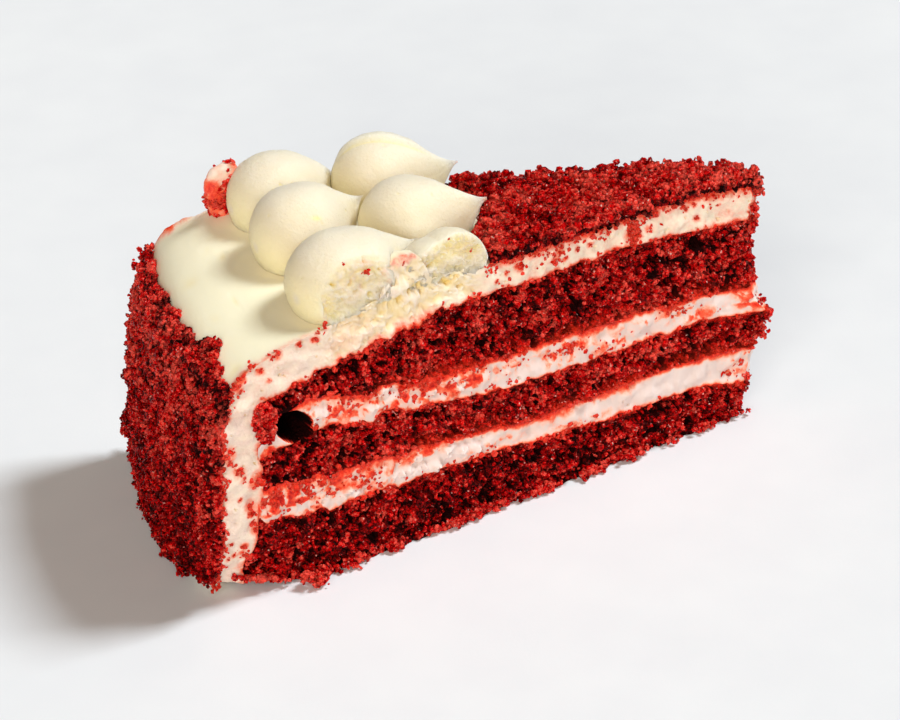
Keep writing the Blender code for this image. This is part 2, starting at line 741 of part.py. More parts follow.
def edge_flake(collection):
    """The crumb-covered flake that stands on the far edge of the icing, beside the kisses."""
    rings = []
    turns = np.arange(FLAKE_SIDES) * math.tau / FLAKE_SIDES
    side = radial(1.0, FAR * HALF_ANGLE, 0.0) - (APEX_X, 0.0, 0.0)
    foot = float(icing_top(FLAKE[0][1], HALF_ANGLE)) + GAP
    for height, radius, length, thickness in FLAKE:
        rough = 1.0 + FLAKE_ROUGH * waves(turns, height, 1.0, FLAKE_SIDES)
        centre = radial(radius, FAR * HALF_ANGLE, foot + height) + FLAKE_INSET * inward(FAR)
        ring = centre + (length * rough * np.cos(turns))[:, None] * side
        ring = ring + (thickness * rough * np.sin(turns))[:, None] * inward(FAR)
        rings.append(ring)
    return new_solid("edge_flake", closed_rings(rings), CRUMB_LOOK, collection)


def main():
    """Build the slice in a collection of its own."""
    for thing in list(bpy.data.objects):
        bpy.data.objects.remove(thing)
    collection = bpy.data.collections.new(COLLECTION)
    bpy.context.scene.collection.children.link(collection)
    build_layers(collection)
    icing(collection)
    rim_coat(collection)
    top_bed(collection)
    kisses(collection)
    edge_flake(collection)


main()
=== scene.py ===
"""Looks of a slice of round layer cake: torn sponge, cream fillings, icing, crumb coats and piped kisses.

Every piece is worked out in millimetres about the cake's own centre line, which would pass through
x = APEX_X: a place is a radius from it, an angle from the slice's middle line and a height. The curved rim
faces -X, the blunt tip +X, the near cut -Y and the far cut +Y. new_piece turns the points into metres.
"""

import itertools
import math

import bpy
import numpy as np
from mathutils import Matrix, Vector


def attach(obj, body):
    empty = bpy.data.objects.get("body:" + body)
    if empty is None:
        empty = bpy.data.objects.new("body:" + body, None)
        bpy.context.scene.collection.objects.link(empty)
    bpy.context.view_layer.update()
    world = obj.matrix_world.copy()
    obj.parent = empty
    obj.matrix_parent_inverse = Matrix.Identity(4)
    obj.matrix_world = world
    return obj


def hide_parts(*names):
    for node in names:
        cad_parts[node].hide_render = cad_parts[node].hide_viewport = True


bl_info = {
    "name": "Red velvet cake slice",
    "version": (1, 0, 0),
    "blender": (4, 5, 0),
    "location": "View3D > Sidebar > Cake slice",
    "description": "Builds a slice of red velvet cake around its solid model",
    "category": "Add Mesh",
}

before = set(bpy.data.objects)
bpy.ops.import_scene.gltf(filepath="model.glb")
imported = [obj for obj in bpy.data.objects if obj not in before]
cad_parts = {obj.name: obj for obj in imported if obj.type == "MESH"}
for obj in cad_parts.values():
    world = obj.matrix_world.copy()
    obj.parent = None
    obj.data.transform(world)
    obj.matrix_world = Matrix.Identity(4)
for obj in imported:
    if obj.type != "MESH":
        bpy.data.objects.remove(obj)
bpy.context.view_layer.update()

TO_METRES = 0.001
SEED = 41
NEAR = -1.0
FAR = 1.0

# the wedge, as in the solid model
APEX_X = 79.0
HALF_ANGLE = 13.6
TIP_RADII = (15.5, 12.2)
TIP_BULGE = 1.6
RIM_RADIUS = 134.0
# how far the tip is drawn back at each height
TIP_SHAPE = ((0.0, 2.2), (4.0, 1.0), (8.0, 0.0), (13.0, -1.2), (18.0, -2.4), (27.0, -2.4), (32.0, -1.2),
             (38.0, -0.5), (43.0, -0.5), (47.0, -1.2), (52.0, -2.0), (57.0, -1.6))
TIP_RUN = 9.0
TIP_FULLNESS = 0.8
# boundaries of the layers at the near cut, as pairs of radius and height
FILLING_1_BASE = ((16.0, 8.3), (27.0, 11.0), (43.0, 11.0), (63.0, 12.5), (85.0, 14.2), (120.0, 15.5),
                  (134.0, 17.6))
FILLING_1_TOP = ((15.0, 16.5), (27.0, 18.0), (73.0, 18.3), (80.0, 19.5), (95.0, 21.2), (118.0, 23.4),
                 (134.0, 25.2))
FILLING_2_BASE = ((15.0, 24.6), (27.0, 27.0), (60.0, 27.2), (82.0, 28.4), (92.0, 30.6), (106.0, 32.5),
                  (120.0, 34.0), (134.0, 32.0))
FILLING_2_TOP = ((16.0, 31.0), (27.0, 33.0), (50.0, 34.4), (80.0, 35.3), (96.0, 37.0), (115.0, 40.0),
                 (124.0, 41.8), (134.0, 37.6))
ICING_BASE = ((16.0, 47.0), (27.0, 49.0), (47.0, 50.7), (80.0, 50.8), (91.0, 51.6), (99.0, 49.6),
              (108.0, 48.0), (122.0, 46.8), (128.0, 45.6), (134.0, 43.0))
FAR_SHIFT = 0.9
FAR_WAVE = 0.5
FAR_PITCH = 26.0
TOP_NEAR = ((15.5, 54.4), (22.0, 56.2), (40.0, 57.2), (60.0, 57.0), (80.0, 57.4), (100.0, 57.0),
            (117.0, 56.2), (126.0, 55.0), (133.0, 53.4), (137.5, 51.6))
TOP_FAR = ((15.5, 53.6), (22.0, 55.4), (40.0, 56.4), (60.0, 56.6), (80.0, 57.6), (100.0, 57.4),
           (117.0, 57.0), (126.0, 56.0), (132.0, 53.6), (137.0, 50.6))
TOP_DISH = 0.9
WALL_NEAR = ((0.0, 143.5), (10.0, 144.0), (22.0, 143.4), (31.0, 142.4), (42.0, 141.2), (50.0, 139.0))
WALL_FAR = ((0.0, 142.4), (6.0, 142.6), (12.0, 142.2), (22.0, 142.0), (31.0, 141.2), (40.0, 139.4),
            (50.0, 136.8))
INNER_WALL = ((0.0, 137.6), (7.7, 137.4), (12.0, 136.2), (18.6, 134.6), (28.0, 133.5), (36.0, 133.5),
              (46.0, 134.0))
CORNER_START = 118.0
CORNER_RUN = 29.0
CORNER_ANGLE = 9.0
CORNER_LIFT = 5.2
CORNER_PULL = 8.0
CORNER_HEIGHT = 17.0
CORNER_POWER = 1.5
SPONGE_RELIEF = 1.0
CREAM_RELIEF = 0.4
JOINT_RELIEF = 0.3
RELIEF_PITCH = 6.0
WAVE_COUNT = 7
WAVE_SPREAD = (0.7, 1.8)
WAVE_LEVEL = 3.2
HOLE_RADIUS = 125.6
HOLE_HEIGHT = 36.7
HOLE_HALF_WIDTH = 4.8
HOLE_HALF_HEIGHT = 3.3
HOLE_TILT = 38.0
HOLE_DEPTH = 11.0
HOLE_SLOPE = 3.0
SPRIG_HEIGHT = 23.5
SPRIG_Y = -3.4
SPRIG_SPREAD = 3.2
SPRIG_LENGTH = 3.2
# upper edge of the rim coat and back edge of the top bed, as pairs of angle and height or radius
COAT_TOP = ((-13.6, 49.8), (-11.5, 51.0), (-9.5, 52.0), (-7.4, 52.2), (-6.0, 51.6), (-4.2, 52.2),
            (-2.0, 51.2), (1.0, 50.2), (13.6, 48.6))
COAT_HEIGHT = 52.0
COAT_WIDTH = 66.0
BED_EDGE = ((-13.6, 78.0), (-10.0, 76.6), (-6.0, 74.0), (-1.0, 71.5), (5.0, 69.0), (9.0, 71.0), (13.6, 75.0))
BED_TIPS = (14.4, 10.8)
BED_LEVEL = 57.0
BED_LENGTH = 30.0
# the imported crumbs' relief on the rim and on top: seed, clump size and grain size
COAT_RELIEF = (620, 3.2, 1.15)
BED_RELIEF = (640, 3.1, 1.2)
# grains heaped into one clump
CLUMP = 10
# name, ball's centre and tail's end from the cake's centre line, ball's radius and top, the tail's height,
# and how full the tail is, or 0 for a blunt end
KISSES = (
    ("kiss_inner_middle", (-87.5, 0.4), (-71.4, -3.2), 10.1, 70.2, 64.2, 1.15),
    ("kiss_inner_far", (-87.5, 19.6), (-71.0, 15.6), 9.8, 70.9, 63.8, 1.15),
    ("kiss_inner_near", (-87.8, -19.3), (-77.0, -17.1), 9.2, 65.8, 59.4, 0.0),
    ("kiss_rim_middle", (-109.1, 3.4), (-94.6, 6.4), 10.5, 71.5, 65.2, 1.25),
    ("kiss_rim_far", (-109.2, 21.6), (-92.8, 24.0), 10.0, 70.3, 62.0, 1.3),
    ("kiss_rim_near", (-108.2, -18.4), (-89.0, -11.4), 10.5, 71.2, 62.8, 1.4),
)
KISS_RINGS = 130
KISS_SIDES = 150
# directions from a ball's middle: to the light, to the small slit, and across the second fold
LIT_WAY = (0.601, -0.031, 0.799)
SLIT_WAY = (0.126, -0.742, 0.658)
KISS_SWELL = 1.1
KISS_LIFT_POWER = 1.2
KISS_BLUNTNESS = 0.7
FOLD_WAY = (0.271, 0.914, 0.302)
FOLD_LEVEL = 0.13
# the flake's sections: height above the icing, radius, half length and half thickness
FLAKE = ((0.0, 122.4, 2.2, 1.3), (2.2, 122.9, 2.1, 1.3), (4.6, 123.4, 2.2, 1.2), (7.0, 123.0, 2.5, 1.3),
         (9.0, 121.8, 2.9, 1.2), (10.6, 120.9, 2.4, 1.0), (11.6, 120.4, 1.4, 0.6))
FLAKE_INSET = 2.0

# crumbs seen on the icing of the near cut and on the fillings: radius, height and crumb radius
ICING_SPECKS = (
    (117.2, 56.7, 0.6), (119.1, 55.8, 0.3), (119.6, 54.4, 0.5), (123.2, 54.4, 0.5), (128.2, 53.9, 0.7),
    (129.6, 53.9, 0.4), (134.1, 53.2, 0.6), (132.0, 51.4, 0.5), (136.3, 51.3, 0.6), (137.9, 50.1, 0.7),
    (137.1, 48.9, 0.5), (130.6, 49.1, 0.3), (132.3, 45.4, 0.2), (140.3, 43.4, 0.5), (139.8, 35.9, 0.6),
    (140.6, 34.1, 0.6), (139.4, 32.7, 0.4), (138.6, 30.8, 0.8), (137.9, 29.2, 0.5), (135.5, 27.4, 1.0),
    (138.9, 24.7, 0.3), (136.6, 22.2, 0.8), (136.7, 20.8, 0.6), (136.2, 18.3, 0.7), (135.9, 16.3, 0.6),
    (141.3, 14.9, 0.3), (142.0, 11.2, 0.3), (138.5, 11.3, 0.8), (138.4, 13.3, 0.5), (140.7, 11.6, 0.3),
    (24.9, 55.6, 0.6), (28.2, 55.0, 0.4), (30.0, 54.2, 0.4), (27.5, 51.5, 0.5), (33.5, 56.5, 0.5),
    (37.6, 55.7, 0.8), (39.4, 53.0, 0.6), (42.7, 51.8, 0.9), (43.7, 55.1, 0.9), (44.2, 53.4, 0.9),
    (44.0, 51.0, 0.8), (44.5, 49.8, 0.6), (49.9, 55.5, 0.5), (54.4, 54.2, 0.4), (57.4, 54.0, 0.4),
    (60.6, 53.0, 0.5), (63.3, 53.9, 0.8), (62.0, 54.8, 0.5), (64.7, 55.3, 0.4), (68.3, 56.4, 0.4),
    (71.8, 54.8, 0.7), (73.9, 56.7, 0.5), (74.7, 54.2, 0.3), (22.6, 53.2, 0.2), (25.7, 49.3, 0.2),
    (77.4, 53.3, 0.3),
)
FILLING_SPECKS = (
    (22.6, 28.3, 0.4), (32.2, 32.0, 0.7), (34.3, 32.6, 0.6), (30.7, 30.6, 0.5), (36.4, 32.8, 0.5),
    (50.8, 28.4, 0.6), (60.7, 32.2, 0.8), (62.7, 32.0, 0.7), (59.0, 32.4, 0.6), (64.7, 31.5, 0.6),
    (75.2, 29.0, 0.4), (79.6, 29.9, 0.6), (80.6, 29.2, 0.4), (19.2, 10.9, 0.6), (17.6, 10.9, 0.4),
    (16.4, 13.3, 0.6), (115.2, 38.2, 0.6), (112.4, 38.4, 0.6), (109.7, 36.9, 0.7), (106.9, 37.3, 0.6),
    (104.1, 37.2, 0.6), (101.4, 34.8, 0.6), (98.5, 36.2, 0.6), (95.6, 35.8, 0.7), (92.8, 35.4, 0.6),
    (90.0, 34.0, 0.6), (108.0, 34.4, 0.6), (105.2, 33.9, 0.5), (117.6, 37.8, 0.7), (119.9, 38.0, 0.6),
    (120.5, 35.5, 0.5), (88.9, 35.4, 0.5), (85.7, 33.9, 0.6), (82.3, 34.4, 0.5), (125.4, 23.0, 0.8),
    (122.6, 22.8, 0.8), (120.5, 22.2, 0.8), (117.6, 22.4, 0.7), (115.0, 22.2, 0.8), (112.9, 20.3, 0.6),
    (127.8, 23.1, 0.8), (130.2, 22.3, 0.8), (125.8, 20.0, 0.7), (123.4, 20.5, 0.6), (131.8, 24.1, 1.0),
    (132.4, 22.5, 0.9), (131.5, 20.9, 0.8), (110.7, 18.0, 0.6), (109.0, 19.3, 0.6), (106.8, 16.1, 0.6),
    (101.3, 15.9, 0.5), (118.8, 19.2, 0.6), (121.8, 17.6, 0.6), (115.5, 16.9, 0.5),
)

# crumbs on the cut kisses
KISS_SPECKS = ((112.1, 68.6, 0.25), (107.3, 65.2, 0.6), (98.6, 64.3, 0.25), (88.0, 66.2, 0.2),
               (83.0, 61.9, 0.25))
SPECK_GRAINS = 12

# larger pores in the sponge of the near cut, dented and darkened with painted shade: radius, height and size
SPONGE_PITS = (
    (101.3, 44.7, 1.8), (103.7, 47.8, 1.2), (84.2, 46.4, 1.5), (75.8, 44.5, 1.1), (65.3, 45.1, 1.2),
    (54.9, 45.8, 1.0), (42.3, 46.3, 1.2), (29.5, 46.1, 0.9), (108.4, 27.6, 1.4), (114.9, 26.4, 1.2),
    (97.0, 28.1, 1.3), (89.9, 27.4, 1.1), (125.6, 12.8, 2.0), (121.6, 13.6, 1.5), (135.0, 6.5, 1.5),
    (114.9, 7.5, 1.6), (109.5, 10.2, 1.2), (78.5, 7.4, 1.2), (53.2, 11.0, 1.0), (91.5, 43.6, 1.4),
    (72.4, 38.2, 1.0), (111.9, 46.8, 1.2), (116.2, 47.6, 1.0), (63.4, 11.1, 1.0), (95.7, 8.5, 1.4),
    (129.9, 10.9, 1.4), (102.8, 10.1, 1.1), (70.3, 29.2, 0.9), (40.1, 25.8, 0.9),
)

# clean white cream in the smeared fillings: radius, height, run and rise
WHITES = ((123.0, 20.8, 4.5, 0.7), (128.0, 18.0, 9.0, 0.9), (129.6, 35.4, 1.5, 1.4), (120.4, 37.6, 0.8, 1.8),
          (103.0, 35.6, 2.0, 1.2), (130.6, 34.6, 1.4, 0.7))

# shallow dents in the icing's top, tinted yellowish with painted shade: radius, angle, size and depth
DENTS = ((132.4, 2.7, 1.5, 0.25), (136.2, -12.3, 1.2, 0.3), (132.2, -4.3, 0.8, 0.2), (127.0, 7.1, 0.6, 0.2),
         (123.7, -6.4, 0.8, 0.25), (124.5, 4.5, 0.7, 0.25), (126.8, -3.6, 0.4, 0.2), (119.0, 0.6, 0.5, 0.2))

# where the knife dragged red crumb over the cream: radius, height, run, rise and strength
SMEARS = (
    (112.0, 37.6, 13.0, 4.2, 1.0), (98.0, 34.5, 10.0, 3.6, 0.95), (86.0, 33.0, 9.0, 3.0, 0.85),
    (72.0, 32.5, 7.0, 2.4, 0.5), (61.0, 31.6, 6.5, 3.0, 0.9), (33.0, 31.6, 5.0, 2.4, 0.8),
    (50.0, 29.0, 6.0, 2.0, 0.65), (44.0, 31.5, 8.0, 1.6, 0.45), (124.0, 21.0, 11.0, 5.0, 1.05),
    (131.0, 21.0, 6.0, 5.0, 1.1), (110.0, 18.6, 7.0, 3.2, 0.85), (98.0, 20.0, 9.0, 1.8, 0.7),
    (80.0, 15.5, 9.0, 1.6, 0.5), (58.0, 13.4, 9.0, 1.4, 0.5), (18.0, 12.5, 4.0, 3.0, 0.8),
    (131.5, 33.0, 3.0, 1.6, 0.9), (16.0, 28.5, 3.5, 4.0, 0.85), (27.0, 28.5, 6.0, 1.8, 0.6),
    (15.5, 14.5, 2.5, 3.5, 0.7),
)

# tufts of torn white cream on the fillings of the near cut: radius, height and size
TUFTS = (
    (114.3, 17.6, 1.3), (112.6, 16.4, 1.1), (115.6, 16.9, 1.0), (102.4, 17.1, 1.6), (100.0, 17.4, 1.3),
    (97.4, 16.4, 1.7), (94.0, 15.9, 1.6), (98.1, 19.1, 1.2), (90.3, 18.1, 1.7), (87.4, 17.6, 1.5),
    (84.0, 16.8, 1.4), (105.0, 37.4, 1.5), (107.6, 34.6, 1.2), (87.0, 32.2, 1.3), (119.2, 37.6, 1.6),
    (121.0, 36.6, 1.5), (93.5, 33.4, 1.0),
)

# how far the sponge above a filling bleeds into it, in pairs of radius and depth
BLEED = ((15.0, 1.2), (40.0, 1.6), (58.0, 2.7), (90.0, 3.0), (120.0, 2.8))

# deep holes in the torn cream under the cut kisses, tinted yellow with painted shade: radius, height, size
# across and up
TORN_HOLES = ((95.9, 57.8, 1.3, 0.9), (88.6, 57.2, 1.5, 0.9), (86.0, 58.8, 0.9, 0.6), (92.2, 61.3, 0.7, 0.5),
              (99.0, 56.4, 0.7, 0.5), (106.5, 59.6, 0.9, 0.5), (101.1, 60.9, 0.7, 0.4),
              (80.2, 54.4, 0.9, 0.4))
WHIPPED_SEED = 540

# lumps of torn crumb: radius, angle, height, size and number of grains
LUMPS = (
    (124.0, -14.6, 1.7, 1.5, 60), (122.4, -14.4, 2.6, 1.2, 40), (126.0, -14.2, 2.2, 1.1, 30),
    (66.5, -13.9, 1.2, 1.0, 26), (69.0, -13.6, 1.0, 0.9, 18), (113.0, -13.9, 1.6, 0.9, 20),
    (10.9, -6.0, 22.2, 1.7, 70), (9.9, -10.0, 22.4, 1.2, 44), (9.1, -13.0, 22.7, 0.9, 26),
    (8.6, -15.0, 23.4, 0.6, 14), (10.2, -10.0, 18.6, 1.1, 34), (10.9, -8.0, 26.4, 1.2, 34),
    (13.2, -10.0, 15.5, 0.8, 20), (13.4, -8.0, 37.5, 0.8, 20), (12.6, -6.0, 44.0, 0.8, 18),
    (12.4, -10.0, 49.0, 1.0, 30), (11.6, -10.0, 53.0, 1.0, 34), (12.2, 0.0, 53.0, 0.9, 24),
    (12.6, -12.0, 46.0, 0.9, 24), (14.5, -12.0, 9.0, 0.8, 24), (13.6, -12.0, 33.0, 0.9, 24),
)
LUMP_SPREAD = 0.56

# the icing's run along its section: the wall's end, the shoulder's end, its low height and inner radius
WALL_END = 0.281
SHOULDER_END = 0.331
SHOULDER_LOW = 48.0
SHOULDER_IN = 131.0

# how far off the wet cream is taken to be under the lowest sponge, which stands on none
FOOT_DRY = 50.0

# pieces keep this far from the boundary they share
FACE_GAP = 0.03

# colours as red, green and blue: crumb from dark to bright, a painted pink glint, near black painted as shade
# between grains, wet crumb, the stains on cream from faint to deep, and near black painted as shade in the
# hole
SPONGE_COLOURS = ((0.040, 0.0001, 0.0002), (0.210, 0.0003, 0.0006), (0.540, 0.0010, 0.0018),
                  (0.850, 0.0060, 0.0060), (0.980, 0.0900, 0.0600))
SPONGE_STOPS = (0.0, 0.26, 0.52, 0.77, 0.97)
GLINT_COLOUR = (1.0, 0.66, 0.56)
# painted shade: the near black between the crumb's grains
GAP_SHADE_COLOUR = (0.012, 0.0001, 0.0001)
WET_COLOUR = (0.80, 0.034, 0.012)
STAIN_COLOURS = ((0.97, 0.50, 0.37), (0.94, 0.15, 0.065), (0.86, 0.040, 0.012), (0.40, 0.004, 0.003))
STAIN_STOPS = (0.0, 0.24, 0.46, 0.66, 1.0)
# painted shade: the near black inside the hole
HOLE_SHADE_COLOUR = (0.003, 0.0001, 0.0001)

# grains for each metre in the crumb's pattern
COARSE_GRAINS = 1050.0
FINE_GRAINS = 2700.0

# the camera: azimuth, elevation and roll in degrees, what it looks at, how far off it is, and its lens
VIEW_ANGLES = (-17.99, 30.0, -2.71)
VIEW_TARGET = (-0.0040, -0.00935, 0.0323)
VIEW_DISTANCE = 0.700
VIEW_LENS = 136.75

# soft lights: azimuth, elevation, distance and size, and their colours; the room's and the floor's colours
KEY_LIGHT = (-3.0, 53.0, 14.0, 3.7)
KEY_COLOUR = (0.88, 0.96, 1.0)
FRONT_LIGHT = (-118.0, 24.0, 12.0, 7.3)
FRONT_COLOUR = (0.97, 0.945, 0.86)
LIGHT_HEIGHT = 0.03
ROOM_COLOUR = (0.97, 0.735, 0.585, 1.0)
FLOOR_COLOURS = ((0.3, (0.80, 0.80, 0.82)), (0.7, (0.83, 0.83, 0.845)))
FLOOR_REACH = 3.0
FLOOR_DROP = 0.0001

# the marks kept at each point of a piece, from 0 to 1: how much painted shade it takes in pores, gaps,
# creases and holes and on the kisses' shaded sides, which shade, how stained
MARKS = ("painted_shade", "shade", "stain")


def read(table, values, soften=0.0):
    """Value of a table of pairs, straight between them, or averaged over a short run to round its bends."""
    pairs = np.array(table)
    steps = soften * np.linspace(-1.0, 1.0, 7 if soften else 1)
    return np.mean([np.interp(values + step, pairs[:, 0], pairs[:, 1]) for step in steps], axis=0)


def ease(values):
    """Smooth step from 0 to 1 over the range 0 to 1: three squares less two cubes."""
    clipped = np.clip(values, 0.0, 1.0)
    return clipped * clipped * (3.0 - 2.0 * clipped)


def mix(first, second, share):
    """Straight blend of two values."""
    return first * (1.0 - share) + second * share


def across(angle):
    """Part of the way from the near cut to the far cut, 0 to 1."""
    return (angle + HALF_ANGLE) / (2.0 * HALF_ANGLE)


def waves(first, second, pitch, seed):
    """Smooth unevenness of the solid model: a sum of sine waves in seeded directions and phases."""
    random = np.random.default_rng(SEED + seed)
    total = np.zeros(np.broadcast(first, second).shape)
    for _ in range(WAVE_COUNT):
        angle = random.uniform(0.0, math.tau)
        scale = math.tau / (pitch * random.uniform(*WAVE_SPREAD))
        phase = random.uniform(0.0, math.tau)
        total = total + np.sin(scale * (first * math.cos(angle) + second * math.sin(angle)) + phase)
    return total / WAVE_LEVEL


def scramble(places, seed):
    """A repeatable whole number for each whole-number place: its coordinates multiplied, folded and mixed."""
    big = np.uint64(0x9E3779B97F4A7C15)
    odd = (np.uint64(0xBF58476D1CE4E5B9), np.uint64(0x94D049BB133111EB), np.uint64(0xD6E8FEB86659FD93))
    mixed = np.full(places.shape[:-1], np.uint64(2 * seed + 1)) * big
    for axis in range(places.shape[-1]):
        mixed = (mixed ^ (places[..., axis].astype(np.uint64) * odd[axis])) * big
        mixed = mixed ^ (mixed >> np.uint64(29))
    mixed = mixed * odd[0]
    return mixed ^ (mixed >> np.uint64(31))


def share_of(numbers, shift):
    """A number from 0 to 1 made of 21 bits of a scrambled number."""
    return ((numbers >> np.uint64(shift)) & np.uint64(0x1FFFFF)).astype(float) / float(0x1FFFFF)


def soft_noise(points, pitch, seed, octaves=1):
    """Smooth unevenness from about -1 to 1: random heights on a cubic lattice, eased between its corners."""
    total = 0.0
    for octave in range(octaves):
        scaled = points * (2.0 ** octave / pitch)
        low = np.floor(scaled).astype(np.int64)
        part = ease(scaled - low)
        value = 0.0
        for corner in itertools.product((0, 1), repeat=points.shape[-1]):
            share = np.prod(np.where(np.array(corner) == 1, part, 1.0 - part), axis=-1)
            value = value + share * share_of(scramble(low + np.array(corner), seed + octave), 0)
        total = total + (2.0 * value - 1.0) / 2.0 ** octave
    return total


def part_noise(points, pitch, seed, octaves=1):
    """Smooth unevenness from 0 to 1."""
    return np.clip(0.5 + 0.5 * soft_noise(points, pitch, seed, octaves), 0.0, 1.0)


def cells(points, size, seed):
    """Cellular pattern: distance to the nearest of scattered centres, in cell sizes, and its own number."""
    scaled = points / size
    low = np.floor(scaled).astype(np.int64)
    nearest = np.full(points.shape[:-1], np.inf)
    pick = np.zeros(points.shape[:-1])
    for corner in itertools.product((-1, 0, 1), repeat=points.shape[-1]):
        cell = low + np.array(corner)
        mixed = scramble(cell, seed)
        centre = cell + np.stack([share_of(mixed, 21 * axis) for axis in range(points.shape[-1])], -1)
        away = np.linalg.norm(scaled - centre, axis=-1)
        closer = away < nearest
        nearest = np.where(closer, away, nearest)
        pick = np.where(closer, share_of(scramble(cell, seed + 7), 3), pick)
    return nearest, pick


def bent(points, amount, pitch, seed):
    """Points pushed about by smooth noise, so that a pattern on them looks torn."""
    return points + amount * np.stack([soft_noise(points, pitch, seed + axis) for axis in range(3)], -1)


def tip_radius(angle):
    """Radius of the blunt tip, which reaches further on the far side."""
    return TIP_RADII[0] + (TIP_RADII[1] - TIP_RADII[0]) * across(angle)


def corner(radius, angle):
    """How far a place belongs to the worn lower corner, 0 to 1."""
    return ease((radius - CORNER_START) / CORNER_RUN) * ease(1.0 - (angle + HALF_ANGLE) / CORNER_ANGLE)


def base_height(radius, angle):
    """Underside of the slice: flat, lifted a little at the worn corner."""
    return CORNER_LIFT * corner(radius, angle) ** 2


def radial(radius, angle, height):
    """Points at a radius from the cake's centre, an angle from the slice's middle line and a height."""
    turn = np.radians(angle)
    return np.stack(np.broadcast_arrays(APEX_X - radius * np.cos(turn), radius * np.sin(turn), height), -1)


def inward(side):
    """Unit direction from a cut face into the slice."""
    turn = math.radians(HALF_ANGLE)
    return np.array((-math.sin(turn), -side * math.cos(turn), 0.0))


def joint(table, radius, angle):
    """Height of a boundary between layers: its table at the near cut, its own waves at the far cut, and a
    ragged edge of smooth noise."""
    near = read(table, radius, 2.0)
    far = read(table, radius + FAR_SHIFT, 2.0) + FAR_WAVE * waves(radius, near, FAR_PITCH, len(table))
    level = mix(near, far, across(angle))
    points = np.stack(np.broadcast_arrays(radius, radius * np.radians(angle), float(len(table))), -1)
    near_cut = ease((-8.0 - angle) / 4.0)
    flaps = near_cut * ease((radius - 79.0) / 8.0) * ease((122.0 - radius) / 8.0) * (table is ICING_BASE)
    broken = 0.5 * near_cut * ease((radius - 88.0) / 14.0)
    return level + (0.5 + broken + 0.7 * flaps) * soft_noise(points, 2.7, 200 + len(table), 3)


def inner_wall(height, angle):
    """Radius where the layers end and the rim's icing begins, ragged with smooth noise."""
    points = np.stack(np.broadcast_arrays(height, 2.4 * angle), -1)
    return read(INNER_WALL, height, 2.0) + 1.1 * soft_noise(points, 4.6, 231, 3)


def icing_top(radius, angle):
    """Height of the icing's upper surface, dished between its two cut edges and fuller towards the rim."""
    part = across(angle)
    level = mix(read(TOP_NEAR, radius, 4.0), read(TOP_FAR, radius, 4.0), part)
    dish = ease(radius / RIM_RADIUS) - 1.5 * ease((radius - 108.0) / 24.0)
    return level - TOP_DISH * np.sin(math.pi * np.clip(part, 0.0, 1.0)) * dish


def icing_swell(radius, angle):
    """Broad soft undulations that the spatula left, and cream squeezed up between the two cut kisses."""
    points = np.stack(np.broadcast_arrays(radius, radius * np.radians(angle)), -1)
    broad = soft_noise(points, 17.0, 301, 2)
    stroke = soft_noise(points * (0.35, 1.0), 6.5, 305, 2)
    squeezed = 8.6 * np.exp(-((radius - 98.4) / 5.4) ** 4) * ease((-8.6 - angle) / 3.6)
    lip = 1.4 * np.exp(-((radius - 96.0) / 15.0) ** 6) * ease((-11.2 - angle) / 1.6)
    return (0.32 * broad + 0.14 * stroke) * ease((radius - 20.0) / 30.0) + np.maximum(squeezed, lip)


def wall_radius(height, angle):
    """Radius of the icing's outer wall, which leans out towards the base."""
    return mix(read(WALL_NEAR, height), read(WALL_FAR, height), across(angle))


def corner_pull(radius, height):
    """Depth of the near cut's worn lower corner."""
    fade = np.clip(1.0 - height / CORNER_HEIGHT, 0.0, None) ** CORNER_POWER
    return CORNER_PULL * corner(radius, -HALF_ANGLE) * fade


def hole_share(radius, height):
    """How far inside the hole's tilted oval a place of the near cut is: 1 in its middle, 0 on its edge."""
    turn = math.radians(HOLE_TILT)
    right, rise = radius - HOLE_RADIUS, height - HOLE_HEIGHT
    along = (right * math.cos(turn) + rise * math.sin(turn)) / HOLE_HALF_WIDTH
    up = (rise * math.cos(turn) - right * math.sin(turn)) / HOLE_HALF_HEIGHT
    return 1.0 - along ** 2 - up ** 2


def hole_depth(radius, height):
    """Depth of the dark hole in the near cut, beside the rim icing."""
    return HOLE_DEPTH * ease(HOLE_SLOPE * hole_share(radius, height))


def hole_black_shade(radius, height):
    """How much of the hole's painted black shade a place takes: all of it, from just outside its edge."""
    return ease((hole_share(radius, height) + 0.12) / 0.14)


def cut_depth(side, radius, height, relief):
    """Depth of a cut face behind the knife's plane: the solid model's waves, its hole and its worn corner."""
    depth = relief * (waves(radius, height, RELIEF_PITCH, int(side)) + 1.0)
    if side == NEAR:
        depth = depth + hole_depth(radius, height) + corner_pull(radius, height)
    return depth


def side_keys(counts, axis, end):
    """Numbers of the places on one side of a box of cells, as a grid of its other two axes."""
    size = np.array(counts) + 1
    one, two = (axis + 1) % 3, (axis + 2) % 3
    first, second = np.meshgrid(np.arange(size[one]), np.arange(size[two]), indexing="ij")
    place = [None, None, None]
    place[axis], place[one], place[two] = end * counts[axis], first, second
    return (place[0] * size[1] + place[1]) * size[2] + place[2]


def skin(counts):
    """Whole-number places on the skin of a box of cells, and the quads between them, facing outwards."""
    size = np.array(counts) + 1
    keys = []
    quads = []
    for axis, end in itertools.product(range(3), (0, 1)):
        key = side_keys(counts, axis, end)
        quad = np.stack((key[:-1, :-1], key[1:, :-1], key[1:, 1:], key[:-1, 1:]), -1).reshape(-1, 4)
        quads.append(quad if end else quad[:, ::-1])
        keys.append(key.ravel())
    unique = np.unique(np.concatenate(keys))
    faces = np.searchsorted(unique, np.vstack(quads))
    return (unique // (size[1] * size[2]), unique // size[2] % size[1], unique % size[2]), faces, unique


def side_grid(points, unique, counts, axis, end):
    """The skin's points on one side of the box, as a grid that faces outwards."""
    grid = points[np.searchsorted(unique, side_keys(counts, axis, end))]
    return grid.swapaxes(0, 1)[::-1 if end else 1] if axis == 1 else grid


def crowded(count):
    """Stations from 0 to 1 that crowd towards both ends, as half a cosine does."""
    return 0.5 - 0.5 * np.cos(np.linspace(0.0, math.pi, count + 1))


